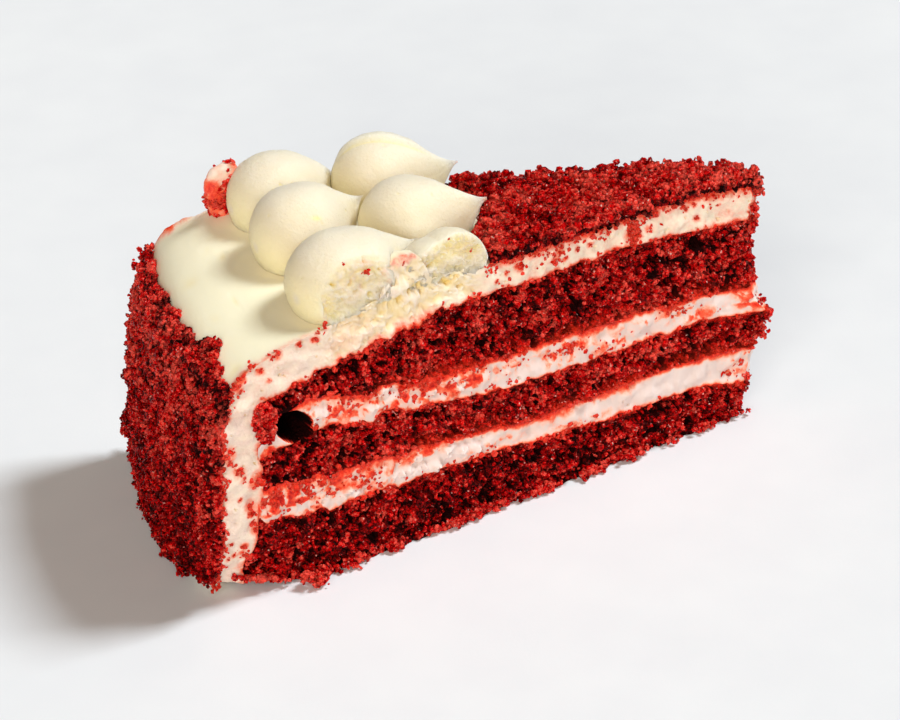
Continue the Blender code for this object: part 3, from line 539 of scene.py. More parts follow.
def new_piece(name, points, faces, material, nodes=(), marks=None, crease=0.9, smooth=True):
    """A finished piece in metres that rides on the slice: a mesh with its marks, material and nodes.

    marks are numbers from 0 to 1 at each point, kept as attributes that the material reads.
    """
    mesh = bpy.data.meshes.new(name)
    points = np.asarray(points, float) * TO_METRES
    points[:, 2] = np.maximum(points[:, 2], 0.0)
    faces = np.asarray(faces)
    sides = faces.shape[1]
    mesh.vertices.add(len(points))
    mesh.vertices.foreach_set("co", points.astype(np.float32).ravel())
    mesh.loops.add(faces.size)
    mesh.loops.foreach_set("vertex_index", faces.astype(np.int32).ravel())
    mesh.polygons.add(len(faces))
    mesh.polygons.foreach_set("loop_start", np.arange(0, faces.size, sides, dtype=np.int32))
    mesh.polygons.foreach_set("use_smooth", np.full(len(faces), smooth))
    mesh.update(calc_edges=True)
    for key, values in (marks or {}).items():
        mark = mesh.attributes.new(key, "FLOAT", "POINT")
        mark.data.foreach_set("value", np.clip(values, 0.0, 1.0).astype(np.float32).ravel())
    if crease:
        mesh.set_sharp_from_angle(angle=crease)
    mesh.validate()
    mesh.materials.append(material)
    piece = bpy.data.objects.new(name, mesh)
    bpy.context.scene.collection.objects.link(piece)
    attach(piece, "root")
    if nodes:
        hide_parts(*nodes)
    return piece


def dome(away):
    """Height of a round grain over its cell: a half circle of the distance from its middle."""
    return np.sqrt(np.clip(1.0 - (away / 0.8) ** 2, 0.0, 1.0))


def torn(points, seed, coarse, fine):
    """Torn crumb: inward depth, how much painted shade it takes in its gaps, pores and caves, and which shade
    each place is.

    Grains of two sizes are domes, each at a depth of its own. Ragged pores open where a noise is high, and
    small round ones lie between them; the places are bent by noise first, so that nothing stays round.
    """
    loose = bent(points, 0.55, 1.7, seed)
    away, pick = cells(loose, coarse, seed + 11)
    away_2, pick_2 = cells(loose, fine, seed + 12)
    broad = soft_noise(bent(points, 0.8, 2.0, seed + 5), 2.3, seed + 13, 2)
    cave = ease((broad - 0.42) / 0.3)
    away_3, pick_3 = cells(bent(points, 0.6, 1.2, seed + 6), 1.75, seed + 14)
    small = ease((0.20 + 0.28 * pick_3 - away_3) / 0.12) * (pick_3 > 0.22)
    patch = soft_noise(points, 5.0, seed + 15, 2)
    gap, gap_2 = 1.0 - dome(away), 1.0 - dome(away_2)
    depth = 0.7 * gap + 0.7 * pick ** 2 + 0.36 * gap_2 + 0.3 * pick_2 - 0.85 + 1.0 * cave + 0.95 * small
    painted_shade = 0.35 * gap + 0.3 * pick ** 2 + 0.2 * gap_2 + 0.6 * cave + 0.85 * small + 0.22 * patch
    shade = 0.4 * pick_2 + 0.35 * (1.0 - pick) + 0.4 * ease((-0.2 - broad) / 0.5) - 0.25 * patch
    return depth, ease((painted_shade - 0.12) / 0.85), shade


def layer_place(u, v, w, lower, upper):
    """Radius, angle and height of a place in a layer: u from the rim to the tip, v from cut to cut, w up."""
    angle = mix(-HALF_ANGLE, HALF_ANGLE, v)
    rim_height = mix(lower(RIM_RADIUS, angle), upper(RIM_RADIUS, angle), w)
    rim = inner_wall(rim_height, angle) - 2.0 * FACE_GAP
    radius = mix(rim, tip_radius(angle), u)
    return radius, angle, mix(lower(radius, angle), upper(radius, angle), w)


def layer(name, slot, material, lower, upper, counts, relief, texture, seed):
    """One layer between two heights, as the skin of a box of cells, with the texture of its cut faces.

    The near and far cuts and the tip have their own depths, and between the cuts the depths blend. It gives
    back the grids of the two cuts and the tip, each with how open its cells are.
    """
    (i, j, k), faces, unique = skin(counts)
    stations = (np.linspace(0.0, 1.0, counts[0] + 1), crowded(counts[1]),
                np.linspace(0.0, 1.0, counts[2] + 1))
    radius, angle, height = layer_place(stations[0][i], stations[1][j], stations[2][k], lower, upper)
    points = radial(radius, angle, height)
    part = across(angle)
    marks = dict.fromkeys(MARKS, 0.0)
    for side, end in ((NEAR, 0.0), (FAR, 1.0)):
        u, w = np.meshgrid(stations[0], stations[2], indexing="ij")
        r, a, z = layer_place(u, end, w, lower, upper)
        low, high = z - lower(r, a), upper(r, a) - z
        fade = ease(np.minimum(low, high) / 1.1)
        detail, *fields = texture(side, r, z, radial(r, a, z), low, high, seed)
        depth = cut_depth(side, r, z, mix(JOINT_RELIEF, relief, fade)) + detail * (0.35 + 0.65 * fade)
        weight = part if side == FAR else 1.0 - part
        for key, field in zip(MARKS, fields):
            marks[key] = marks[key] + weight * (field + np.zeros(r.shape))[i, k]
        points = points + (weight * depth[i, k])[:, None] * inward(side)
    v, w = np.meshgrid(stations[1], stations[2], indexing="ij")
    r, a, z = layer_place(1.0, v, w, lower, upper)
    flat = radial(r, a, z)
    detail, *fields = texture(0.0, r, z, flat, z - lower(r, a), upper(r, a) - z, seed + 3)
    away = np.hypot(flat[..., 1] - SPRIG_Y, z - SPRIG_HEIGHT) / SPRIG_SPREAD
    push = TIP_BULGE * np.sin(math.pi * v) * TIP_FULLNESS + SPRIG_LENGTH * np.exp(-away ** 2) - 0.9 * detail
    push = push - read(TIP_SHAPE, z, 1.5)
    reach = np.clip(1.0 - (radius - tip_radius(angle)) / TIP_RUN, 0.0, 1.0)
    points[:, 0] += push[j, k] * reach
    at_tip = (i == counts[0]) & (j > 0) & (j < counts[1])
    for key, field in zip(MARKS, fields):
        marks[key] = np.where(at_tip, (field + np.zeros(r.shape))[j, k], marks[key])
    # painted shade: the walls of the hole are painted black
    hole_walls = (hole_share(radius, height) > -1.2) & (j > 0) & (part < 0.5)
    marks["painted_shade"] = np.where(hole_walls, 1.0, marks["painted_shade"])
    marks["stain"] = np.where(hole_walls, float(slot == "filling"), marks["stain"])
    new_piece("cut_" + name, points, faces, material, (name,), marks)
    open_part = 1.0 - np.clip(marks["painted_shade"], 0.0, 1.0)
    return [tuple(side_grid(field, unique, counts, *side) for field in (points, open_part))
            for side in ((1, 0), (1, 1), (0, 1))]


def wetness(points, radius, low, high, seed):
    """How far cream wets the sponge: a band over the filling below it and a thin one at the one above."""
    wander = part_noise(points, 7.0, seed + 31, 2)
    over = ease((122.0 - radius) / 24.0) * np.exp(-low / (0.45 + 0.9 * wander)) * (0.5 + 0.8 * wander)
    return np.maximum(over, np.exp(-high / 0.5) * (0.3 + 0.6 * wander))


def sponge_texture(side, r, z, flat, low, high, seed):
    """Torn sponge with its larger pores in painted shade, a painted shadow line over the cream below it,
    black painted in the hole, and wet under the cream above it.
    """
    detail, painted_shade, shade = torn(flat, seed, 1.5, 0.7)
    stain = wetness(flat, r, low, high, seed)
    if side == NEAR:
        wander = part_noise(flat, 7.0, seed + 31, 2)
        ragged = 0.9 * soft_noise(flat, 1.0, seed + 37, 2)
        pit = np.zeros(r.shape)
        for radius, height, size in SPONGE_PITS:
            away = np.hypot(r - radius, z - height) / (0.55 * size)
            pit = np.maximum(pit, ease((1.1 - away + ragged) / 0.6))
        detail = detail + 1.7 * pit
        # painted shade in the pores and painted black in the hole
        painted_shade = np.maximum(np.maximum(painted_shade, pit), hole_black_shade(r, z))
        # painted shadow: a dark line just above the cream below, towards the rim
        painted_shade = painted_shade + 0.5 * np.exp(-low / 0.5) * (0.2 + 0.9 * wander) * ease((r - 88.0) / 10.0)
        stain = stain * (1.0 - hole_black_shade(r, z))
    shade = shade - 0.25 * ease((low - (FOOT_DRY - 10.0)) / 5.0)
    return detail, np.clip(painted_shade, 0.0, 1.0), shade, stain


def cream_texture(side, r, z, flat, low, high, seed):
    """Cut cream: soft drag marks, a few pores in painted shade, torn white lumps, and red dragged into it
    from the sponge; in the hole it is painted near black as shade.
    """
    drag = soft_noise(flat * (1.0, 1.0, 0.35), 1.1, seed, 2)
    lumps = soft_noise(flat, 2.3, seed + 9, 2)
    away, pick = cells(flat, 1.9, seed + 15)
    pore = ease((0.10 + 0.16 * pick - away) / 0.08) * (pick > 0.75)
    wander = part_noise(flat, 9.0, seed + 33, 2)
    ragged = part_noise(flat, 1.1, seed + 35, 2)
    reach = read(BLEED, r) * (0.25 + 1.5 * wander ** 2) * (0.5 + ragged)
    bleed = 0.80 * np.exp(-(np.maximum(high, 0.0) / (0.35 + 0.5 * reach)) ** 1.6)
    lower_bleed = 0.75 * np.exp(-low / (0.25 + 0.45 * wander)) * (0.4 + ragged)
    blots = ease((part_noise(bent(flat, 0.6, 1.2, seed + 2), 1.5, seed + 17, 3) - 0.41) / 0.2)
    level = smears(side, r, z)
    smear = level * (0.08 + 0.3 * ragged + 0.8 * blots * (0.5 + 0.6 * ragged))
    tufts, white = torn_lumps(side, r, z, flat, seed)
    stain = np.maximum(np.maximum(bleed, lower_bleed), smear) * (1.0 - 0.9 * white)
    # painted shade in the pores
    painted_shade = 0.3 * pore
    gap = np.zeros(stain.shape)
    if side == NEAR:
        for radius, height, run, rise in WHITES:
            spread = ((r - radius) / run) ** 2 + ((z - height) / rise) ** 2
            stain = stain * (1.0 - 0.9 * np.exp(-spread ** 2) * (0.6 + 0.6 * ragged))
        # painted shade: the hole is stained and shaded so that the cream there is painted near black
        gap = hole_black_shade(r, z)
        stain = np.maximum(stain, 1.1 * gap)
        painted_shade = np.maximum(painted_shade, gap)
    detail = 0.14 * drag - 0.3 * lumps + 0.55 * pore - tufts - 0.4 * blots * level
    return detail + 0.6 * gap, painted_shade, ragged, stain


def torn_lumps(side, r, z, flat, seed):
    """Tufts of white cream that tore away from the knife: how far they stand out, and how white they are."""
    tufts = np.zeros(np.broadcast(r, z).shape)
    wild = 0.45 * soft_noise(flat, 1.0, seed + 43, 2)
    if side == NEAR:
        for radius, height, size in TUFTS:
            away = np.hypot(r - radius, (z - height) * 1.4) / size
            tufts = np.maximum(tufts, ease((1.35 - away + wild) / 0.9))
    ragged = part_noise(flat, 0.9, seed + 41, 2)
    return tufts * (0.2 + 1.5 * ragged ** 1.5), tufts


def smears(side, r, z):
    """Where the knife dragged red crumb over the cream of the near cut: soft ovals of radius and height."""
    total = np.zeros(np.broadcast(r, z).shape)
    if side != NEAR:
        return total + 0.15
    for radius, height, run, rise, level in SMEARS:
        away = ((r - radius) / run) ** 2 + ((z - height) / rise) ** 2
        total = np.maximum(total, level * np.exp(-away))
    return total


def tree_of(name):
    """A new material and its empty tree, with the shader and output in place."""
    material = bpy.data.materials.new(name)
    material.use_nodes = True
    return material, material.node_tree, material.node_tree.nodes["Principled BSDF"]


def put(tree, kind, links=(), **settings):
    """A node with its settings and its inputs, each a value or another node's socket."""
    made = tree.nodes.new(kind)
    for key, value in settings.items():
        setattr(made, key, value)
    for key, value in links:
        if isinstance(value, bpy.types.NodeSocket):
            tree.links.new(value, made.inputs[key])
        else:
            made.inputs[key].default_value = value
    return made


def ramp(tree, factor, stops):
    """A colour ramp with the given places and colours."""
    made = put(tree, "ShaderNodeValToRGB", (("Fac", factor),))
    elements = made.color_ramp.elements
    while len(elements) < len(stops):
        elements.new(0.5)
    for element, (place, colour) in zip(elements, stops):
        element.position = place
        element.color = (*colour, 1.0)
    return made.outputs["Color"]


def mark(tree, name):
    """A piece's own mark, read as a number."""
    return put(tree, "ShaderNodeAttribute", attribute_name=name).outputs["Fac"]


def grainy(tree, scale, detail=3.0, roughness=0.6):
    """Noise on the object's own coordinates, in features for each metre."""
    place = put(tree, "ShaderNodeTexCoord").outputs["Object"]
    made = put(tree, "ShaderNodeTexNoise", (("Vector", place), ("Scale", scale), ("Detail", detail),
                                            ("Roughness", roughness)))
    return made.outputs["Fac"]


def sums(tree, kind, first, second, clamp=False):
    """Two numbers added, multiplied or otherwise joined."""
    return put(tree, "ShaderNodeMath", ((0, first), (1, second)), operation=kind, use_clamp=clamp).outputs[0]


def blended(tree, factor, first, second):
    """Two colours mixed."""
    made = put(tree, "ShaderNodeMix", data_type="RGBA")
    for socket, value in ((0, factor), (6, first), (7, second)):
        if isinstance(value, bpy.types.NodeSocket):
            tree.links.new(value, made.inputs[socket])
        else:
            made.inputs[socket].default_value = value if socket == 0 else (*value, 1.0)
    return made.outputs[2]


def bumped(tree, shader, height, distance, strength=1.0):
    """A bump from a height to the shader."""
    made = put(tree, "ShaderNodeBump", (("Height", height), ("Distance", distance), ("Strength", strength)))
    tree.links.new(made.outputs["Normal"], shader.inputs["Normal"])


def finish_shader(tree, shader, colour, roughness, **levels):
    """Colour and roughness joined to the shader, and its other values set on its own sockets."""
    for key, value in (("Base Color", colour), ("Roughness", roughness)):
        if isinstance(value, bpy.types.NodeSocket):
            tree.links.new(value, shader.inputs[key])
        else:
            shader.inputs[key].default_value = value
    for key, value in levels.items():
        shader.inputs[key.replace("_", " ")].default_value = value


def grains_of(tree, place, scale):
    """Grains one over the scale across: how far each place is from a grain's middle, and a random shade."""
    made = put(tree, "ShaderNodeTexVoronoi", (("Vector", place), ("Scale", scale)))
    parts = put(tree, "ShaderNodeSeparateColor", (("Color", made.outputs["Color"]),))
    return made.outputs["Distance"], parts.outputs["Red"]


def line(tree, value, slope, start, clamp=False):
    """A straight line of a number: slope times it plus a start."""
    made = put(tree, "ShaderNodeMath", ((0, value), (1, slope), (2, start)), operation="MULTIPLY_ADD",
               use_clamp=clamp)
    return made.outputs[0]


def crumb_material(name, lift, sparkle=0.6, gap_shade_level=1.0, rough=0.14, gloss=0.06, inner=0.10):
    """Moist red crumb: maroon to bright red by grain with painted pink glints, near black with painted shade
    in hollows and between grains, and orange-red where cream wets it."""
    material, tree, shader = tree_of(name)
    place = put(tree, "ShaderNodeTexCoord").outputs["Object"]
    drift = put(tree, "ShaderNodeTexNoise", (("Vector", place), ("Scale", 1300.0), ("Detail", 2.0)))
    pushed = put(tree, "ShaderNodeVectorMath", ((0, drift.outputs["Color"]), (1, (0.0006, 0.0006, 0.0006))),
                 operation="MULTIPLY")
    place = put(tree, "ShaderNodeVectorMath", ((0, place), (1, pushed.outputs[0])), operation="ADD")
    away, pick = grains_of(tree, place.outputs[0], COARSE_GRAINS)
    away_2, pick_2 = grains_of(tree, place.outputs[0], FINE_GRAINS)
    tone = line(tree, mark(tree, "shade"), 0.62, lift - 0.50)
    tone = sums(tree, "ADD", tone, line(tree, pick, 0.60, 0.0))
    tone = sums(tree, "ADD", tone, line(tree, pick_2, 0.50, 0.0))
    tone = sums(tree, "ADD", tone, line(tree, grainy(tree, 190.0, 2.0), 1.4, -0.70), True)
    colour = ramp(tree, tone, tuple(zip(SPONGE_STOPS, SPONGE_COLOURS)))
    # painted shade: darker towards the edge of each grain, added to the painted shade mark and blended to
    # near black
    gap_shade = sums(tree, "ADD", line(tree, away, 1.7, -0.66), line(tree, away_2, 0.9, -0.45))
    gap_shade = line(tree, sums(tree, "MAXIMUM", gap_shade, 0.0), gap_shade_level, 0.0)
    painted_dark = sums(tree, "ADD", mark(tree, "painted_shade"), gap_shade, True)
    # painted highlight: pink glints on the brightest small grains, away from painted shade
    glint = sums(tree, "MULTIPLY", line(tree, pick_2, 40.0, -38.9, True), line(tree, painted_dark, -1.6, 1.0, True))
    colour = blended(tree, sums(tree, "MULTIPLY", glint, sparkle), colour, GLINT_COLOUR)
    colour = blended(tree, painted_dark, colour, GAP_SHADE_COLOUR)
    wet = sums(tree, "MULTIPLY", mark(tree, "stain"), line(tree, painted_dark, -0.6, 0.95), True)
    colour = blended(tree, wet, colour, WET_COLOUR)
    finish_shader(tree, shader, colour, line(tree, painted_dark, 0.6, rough, True), Specular_IOR_Level=gloss,
                  Subsurface_Weight=inner, Subsurface_Radius=(1.0, 0.10, 0.06), Subsurface_Scale=0.0007)
    height = sums(tree, "ADD", line(tree, away, -1.0, 0.0), line(tree, away_2, -0.5, 0.0))
    bumped(tree, shader, height, 0.0006)
    return material


def cream_material(name, colour, shadow, rough, gloss, pitch, height=0.00012, soft=0.0009, cut=None,
                   painted_shade_tint=(0.88, 0.70, 0.36), inner=0.35):
    """Cream: a colour that wanders a little, red where crumb stains it, with soft pits and drag marks.

    cut is the colour where a knife opened it, and the shade tint multiplies the colour as painted shade where
    the painted shade mark is high; where heavy stain meets painted shade, the cream is painted near black.
    """
    material, tree, shader = tree_of(name)
    fine = grainy(tree, 1400.0, 4.0, 0.7)
    base = blended(tree, sums(tree, "MULTIPLY", grainy(tree, 90.0, 3.0), 0.6), colour, shadow)
    if cut:
        mottled = blended(tree, line(tree, fine, 3.0, -1.2, True), cut, tuple(part * 0.84 for part in cut))
        base = blended(tree, mark(tree, "shade"), base, mottled)
    # painted shade: the colour is tinted where the painted shade mark is high
    base = blended(tree, sums(tree, "MULTIPLY", mark(tree, "painted_shade"), 0.9, True), base,
                   tuple(part * share for part, share in zip(colour, painted_shade_tint)))
    noise = sums(tree, "MULTIPLY", sums(tree, "SUBTRACT", fine, 0.5), 1.4)
    stain = mark(tree, "stain")
    stain = sums(tree, "ADD", stain, sums(tree, "MULTIPLY", noise, stain), True)
    red = ramp(tree, stain, tuple(zip(STAIN_STOPS, (colour, *STAIN_COLOURS))))
    base = blended(tree, sums(tree, "MULTIPLY", stain, 3.5, True), base, red)
    # painted shade: where heavy stain meets painted shade, as set inside the hole, the cream is painted near
    # black
    black_shade_share = line(tree, mark(tree, "stain"), 4.0, -3.0, True)
    base = blended(tree, sums(tree, "MULTIPLY", black_shade_share, mark(tree, "painted_shade"), True), base, HOLE_SHADE_COLOUR)
    finish_shader(tree, shader, base, rough, Specular_IOR_Level=gloss, Subsurface_Weight=inner,
                  Subsurface_Radius=(1.0, 0.96, 0.80), Subsurface_Scale=soft)
    relief = grainy(tree, pitch, 3.0, 0.6)
    if cut:
        torn_share = line(tree, mark(tree, "shade"), 0.0005 / height, 0.0)
        relief = sums(tree, "ADD", relief, sums(tree, "MULTIPLY", torn_share, fine))
    bumped(tree, shader, relief, height, 0.8)
    return material


def orbs(count, random):
    """Unit icosahedra turned and dented at random: points of each, and the triangles of one."""
    golden = (1.0 + math.sqrt(5.0)) / 2.0
    corners = np.array([(-1, golden, 0), (1, golden, 0), (-1, -golden, 0), (1, -golden, 0),
                        (0, -1, golden), (0, 1, golden), (0, -1, -golden), (0, 1, -golden),
                        (golden, 0, -1), (golden, 0, 1), (-golden, 0, -1), (-golden, 0, 1)], float)
    corners /= np.linalg.norm(corners[0])
    triangles = np.array([(0, 11, 5), (0, 5, 1), (0, 1, 7), (0, 7, 10), (0, 10, 11), (1, 5, 9), (5, 11, 4),
                          (11, 10, 2), (10, 7, 6), (7, 1, 8), (3, 9, 4), (3, 4, 2), (3, 2, 6), (3, 6, 8),
                          (3, 8, 9), (4, 9, 5), (2, 4, 11), (6, 2, 10), (8, 6, 7), (9, 8, 1)])
    turn = random.normal(size=(count, 4))
    w, x, y, z = (turn / np.linalg.norm(turn, axis=1)[:, None]).T
    spin = np.array(((1 - 2 * (y * y + z * z), 2 * (x * y - w * z), 2 * (x * z + w * y)),
                     (2 * (x * y + w * z), 1 - 2 * (x * x + z * z), 2 * (y * z - w * x)),
                     (2 * (x * z - w * y), 2 * (y * z + w * x), 1 - 2 * (x * x + y * y)))).transpose(2, 0, 1)
    dents = random.uniform(0.62, 1.3, (count, len(corners), 1))
    shape = corners[None] * dents * random.uniform(0.65, 1.4, (count, 1, 3))
    return np.einsum("nij,nkj->nki", spin, shape), triangles


def grain_piece(name, centres, sizes, material, random, shade=None, painted_shade=None, stain=None):
    """Scattered crumbs as one mesh: a dented ball of a few faces at each centre, with a shade of its own."""
    shapes, triangles = orbs(len(centres), random)
    points = centres[:, None, :] + shapes * np.asarray(sizes)[:, None, None]
    corners = shapes.shape[1]
    faces = triangles[None] + corners * np.arange(len(centres))[:, None, None]
    if shade is None:
        shade = random.uniform(0.1, 1.0, len(centres))
    clear = np.zeros(len(centres))
    marks = {key: np.repeat(clear if field is None else field, corners)
             for key, field in zip(MARKS, (painted_shade, shade, stain))}
    return new_piece(name, points.reshape(-1, 3), faces.reshape(-1, 3), material, (), marks, 0.0, False)


def scatter(grid, count, random, weight=None):
    """Random places on a grid of points, evenly by area: the points and the directions out of the surface."""
    edge_1 = grid[1:, :-1] - grid[:-1, :-1]
    edge_2 = grid[:-1, 1:] - grid[:-1, :-1]
    normal = np.cross(edge_1, edge_2)
    area = np.linalg.norm(normal, axis=-1)
    chance = area if weight is None else area * weight
    chance = (chance / chance.sum()).ravel()
    chosen = random.choice(len(chance), count, p=chance)
    row, column = np.unravel_index(chosen, area.shape)
    u = random.uniform(size=(count, 1))
    v = random.uniform(size=(count, 1))
    points = grid[row, column] + u * edge_1[row, column] + v * edge_2[row, column]
    return points, normal[row, column] / np.maximum(area[row, column], 1e-9)[:, None]


def between(under, over):
    """The lower and upper face of a layer as functions of radius and angle, a hair inside its boundaries."""
    lower = under if callable(under) else (lambda r, a: joint(under, r, a) + FACE_GAP)
    return lower, (lambda r, a: joint(over, r, a) - FACE_GAP)


def sponge_layers(fineness):
    """The three sponge layers and the loose grains on their cut faces, more of them where they stand open."""
    material = crumb_material("torn red sponge", 0.24, 0.9, 1.0)
    grains = crumb_material("sponge grains", 0.33, 0.9, 0.8)
    counts = (fineness.cut_cells, 26, fineness.sponge_rows)
    for number, (name, under, over) in enumerate((("sponge_bottom", base_height, FILLING_1_BASE),
                                                  ("sponge_middle", FILLING_1_TOP, FILLING_2_BASE),
                                                  ("sponge_top", FILLING_2_TOP, ICING_BASE))):
        lower, upper = between(under, over)
        seed = 50 * number + 60
        dry_foot = 0.0 if number else FOOT_DRY
        texture = (lambda side, r, z, flat, low, high, start, dry=dry_foot:
                   sponge_texture(side, r, z, flat, low + dry, high, start))
        grids = layer(name, "sponge", material, lower, upper, counts, SPONGE_RELIEF, texture, seed)
        random = np.random.default_rng(SEED + 100 + number)
        centres = []
        for (grid, open_part), share in zip(grids, (0.46, 0.46, 0.08)):
            chance = 0.03 + open_part[:-1, :-1] ** 1.5
            points, out = scatter(grid, int(fineness.sponge_grains * share), random, chance)
            centres.append(points + out * random.uniform(-0.15, 0.2, (len(points), 1)))
        centres = np.vstack(centres)
        centres[:, 2] = np.maximum(centres[:, 2], 0.3)
        sizes = 0.19 + 0.5 * random.uniform(size=len(centres)) ** 2.2
        radius, turn = polar(centres[:, 0] - APEX_X, centres[:, 1])
        low = centres[:, 2] - lower(radius, turn) + dry_foot
        wet = wetness(centres, radius, low, upper(radius, turn) - centres[:, 2], seed)
        shade = random.uniform(0.1, 1.0, len(centres)) - 0.004 * dry_foot
        # painted shade: the grains in the hole take its black
        painted_dark = hole_black_shade(radius, centres[:, 2]) * (turn < -5.0)
        stain = np.clip(wet, 0.0, 1.0) * (1.0 - painted_dark)
        grain_piece(name + "_grains", centres, sizes, grains, random, shade, painted_dark, stain)


def fillings(fineness, colours):
    """The two cream fillings."""
    material = cream_material("cut cream filling", tuple(colours.filling_colour), shadow=(0.78, 0.59, 0.52),
                              rough=0.5, gloss=0.2, pitch=1100.0, height=0.00016)
    for number, (name, under, over) in enumerate((("filling_lower", FILLING_1_BASE, FILLING_1_TOP),
                                                  ("filling_upper", FILLING_2_BASE, FILLING_2_TOP))):
        lower, upper = between(under, over)
        layer(name, "filling", material, lower, upper, (fineness.cut_cells, 20, 22), CREAM_RELIEF,
              cream_texture, 40 * number + 400)


def icing_outer(u, angle):
    """Radius and height of the icing's outer face: up the wall, over a rounded shoulder, along the top."""
    foot = base_height(read(WALL_NEAR, 0.0), angle)
    up = np.clip(u / WALL_END, 0.0, 1.0)
    wall_z = mix(foot, SHOULDER_LOW, up)
    bend = np.clip((u - WALL_END) / (SHOULDER_END - WALL_END), 0.0, 1.0)
    start = wall_radius(SHOULDER_LOW, angle)
    end_z = icing_top(SHOULDER_IN, angle)
    along = np.clip((u - SHOULDER_END) / (1.0 - SHOULDER_END), 0.0, 1.0)
    top_r = mix(SHOULDER_IN, tip_radius(angle), along)
    middle_r = start - 1.2
    middle_z = end_z + (end_z - icing_top(SHOULDER_IN - 1.0, angle)) * (middle_r - SHOULDER_IN)
    bend_r = start * (1 - bend) ** 2 + 2 * bend * (1 - bend) * middle_r + SHOULDER_IN * bend ** 2
    bend_z = SHOULDER_LOW * (1 - bend) ** 2 + 2 * bend * (1 - bend) * middle_z + end_z * bend ** 2
    radius = np.where(u <= WALL_END, wall_radius(wall_z, angle), np.where(u < SHOULDER_END, bend_r, top_r))
    height = np.where(u <= WALL_END, wall_z, np.where(u < SHOULDER_END, bend_z, icing_top(top_r, angle)))
    swell = icing_swell(radius, angle) * ease((u - WALL_END) / 0.08)
    return radius, height + swell


def icing_inner(u, angle):
    """Radius and height of the icing's inner face: up against the layers, then over the top sponge."""
    turn = (WALL_END + SHOULDER_END) / 2.0
    foot = base_height(RIM_RADIUS, angle)
    corner_z = joint(ICING_BASE, RIM_RADIUS, angle) + FACE_GAP
    up = np.clip(u / turn, 0.0, 1.0)
    wall_z = mix(foot, corner_z, up)
    along = np.clip((u - turn) / (1.0 - turn), 0.0, 1.0)
    radius = mix(inner_wall(corner_z, angle), tip_radius(angle), along)
    height = np.where(u <= turn, wall_z, joint(ICING_BASE, radius, angle) + FACE_GAP)
    return np.where(u <= turn, inner_wall(wall_z, angle), radius), height


def whipped(flat):
    """Airy torn cream: drawn-out strings round ragged holes, as an inward depth and how much painted shade it
    takes in its hollows and holes.
    """
    seed = WHIPPED_SEED
    loose = bent(flat, 0.8, 2.2, seed)
    drawn = loose * (0.55, 0.55, 1.3)
    broad = soft_noise(drawn, 2.7, seed + 3, 2)
    fine = soft_noise(loose, 0.85, seed + 6, 3)
    strings = (1.0 - np.minimum(2.2 * np.abs(soft_noise(drawn, 1.2, seed + 7, 2)), 1.0)) ** 2
    ragged = soft_noise(loose, 0.9, seed + 8, 3)
    away, pick = cells(loose, 3.0, seed + 1)
    hole = ease((0.06 + 0.16 * pick - away + 0.10 * ragged) / 0.12) * (pick > 0.7)
    radius, _ = polar(loose[..., 0] - APEX_X, loose[..., 1])
    for middle, height, run, rise in TORN_HOLES:
        spread = ((radius - middle) / run) ** 2 + ((loose[..., 2] - height) / rise) ** 2
        hole = np.maximum(hole, ease((1.5 - spread + 1.3 * ragged) / 1.3))
    depth = 0.5 * broad + 0.22 * fine - 0.45 * strings + 1.2 * hole + 0.4
    painted_shade = 0.45 + 0.4 * broad + 0.25 * fine - 0.5 * strings + 0.8 * hole
    return depth, np.clip(painted_shade, 0.0, 1.0)


def icing_cut(side, r, z, w, flat, seed):
    """Depth and marks of the icing on a cut face: fine drag and pores, torn and airy under the cut kisses,
    with painted shade in the pores and holes.
    """
    drag = soft_noise(flat, 1.4, seed, 3)
    away, pick = cells(flat, 1.5, seed + 5)
    pore = ease((0.08 + 0.20 * pick - away) / 0.09) * (pick > 0.45)
    airy, torn_shade = whipped(flat)
    if side == NEAR:
        torn_part = ease((r - 79.0) / 6.0) * ease((121.0 - r) / 8.0)
    else:
        torn_part = 0.6 * ease((r - 82.0) / 6.0) * ease((118.0 - r) / 8.0)
    detail = mix(0.2 * drag + 0.6 * pore, airy, torn_part)
    # painted shade in the pores and in the torn holes
    painted_shade = mix(0.7 * pore, torn_shade, torn_part)
    ragged = part_noise(flat, 1.2, seed + 35, 2)
    wander = part_noise(flat, 8.0, seed + 33, 2)
    gap = w * 6.0
    stain = 0.62 * np.exp(-gap / 0.55) * (0.4 + ragged)
    rim_side = ease((r - 128.0) / 6.0)
    wall = ease((r - 131.0) / 2.0) * ease((34.0 - z) / 5.0) * ease((wander - 0.3) / 0.3)
    stain = np.maximum(stain, wall * np.exp(-gap / 1.5) * (0.1 + 0.6 * ragged))
    stain = np.maximum(stain, rim_side * np.exp(-(1.0 - w) * 6.0 / 0.5) * 0.8 * ragged)
    bed_side = ease((80.0 - r) / 4.0)
    stain = np.maximum(stain, bed_side * np.exp(-(1.0 - w) * 6.0 / 1.3) * (0.45 + ragged * 0.5))
    stain = np.maximum(stain, 0.5 * bed_side * ease((wander - 0.5) / 0.3) * ragged * np.exp(-(1 - w) * 2.0))
    stain = np.maximum(stain, (1.0 - torn_part) * (0.06 + (0.12 + 0.1 * bed_side) * wander * ragged))
    if side == NEAR:
        for radius, height, size in ICING_SPECKS:
            spread = ((r - radius) ** 2 + (z - height) ** 2) / (1.7 * size + 0.25) ** 2
            stain = np.maximum(stain, 0.5 * np.exp(-spread) * (0.5 + ragged))
        pink = np.exp(-(((r - 113.0) / 9.0) ** 2 + ((w - 0.4) / 0.5) ** 2)) * 0.16
        squeezed = 0.3 * np.exp(-((r - 98.4) / 4.5) ** 2) * ease((z - 62.0) / 3.0) * (0.4 + ragged)
        stain = np.maximum(np.maximum(stain, pink), squeezed)
    shade = (0.55 + 0.45 * ragged) * (0.65 + 0.35 * ease((r - 85.0) / 30.0))
    return detail, painted_shade, shade * (1.0 - 0.2 * torn_part), stain


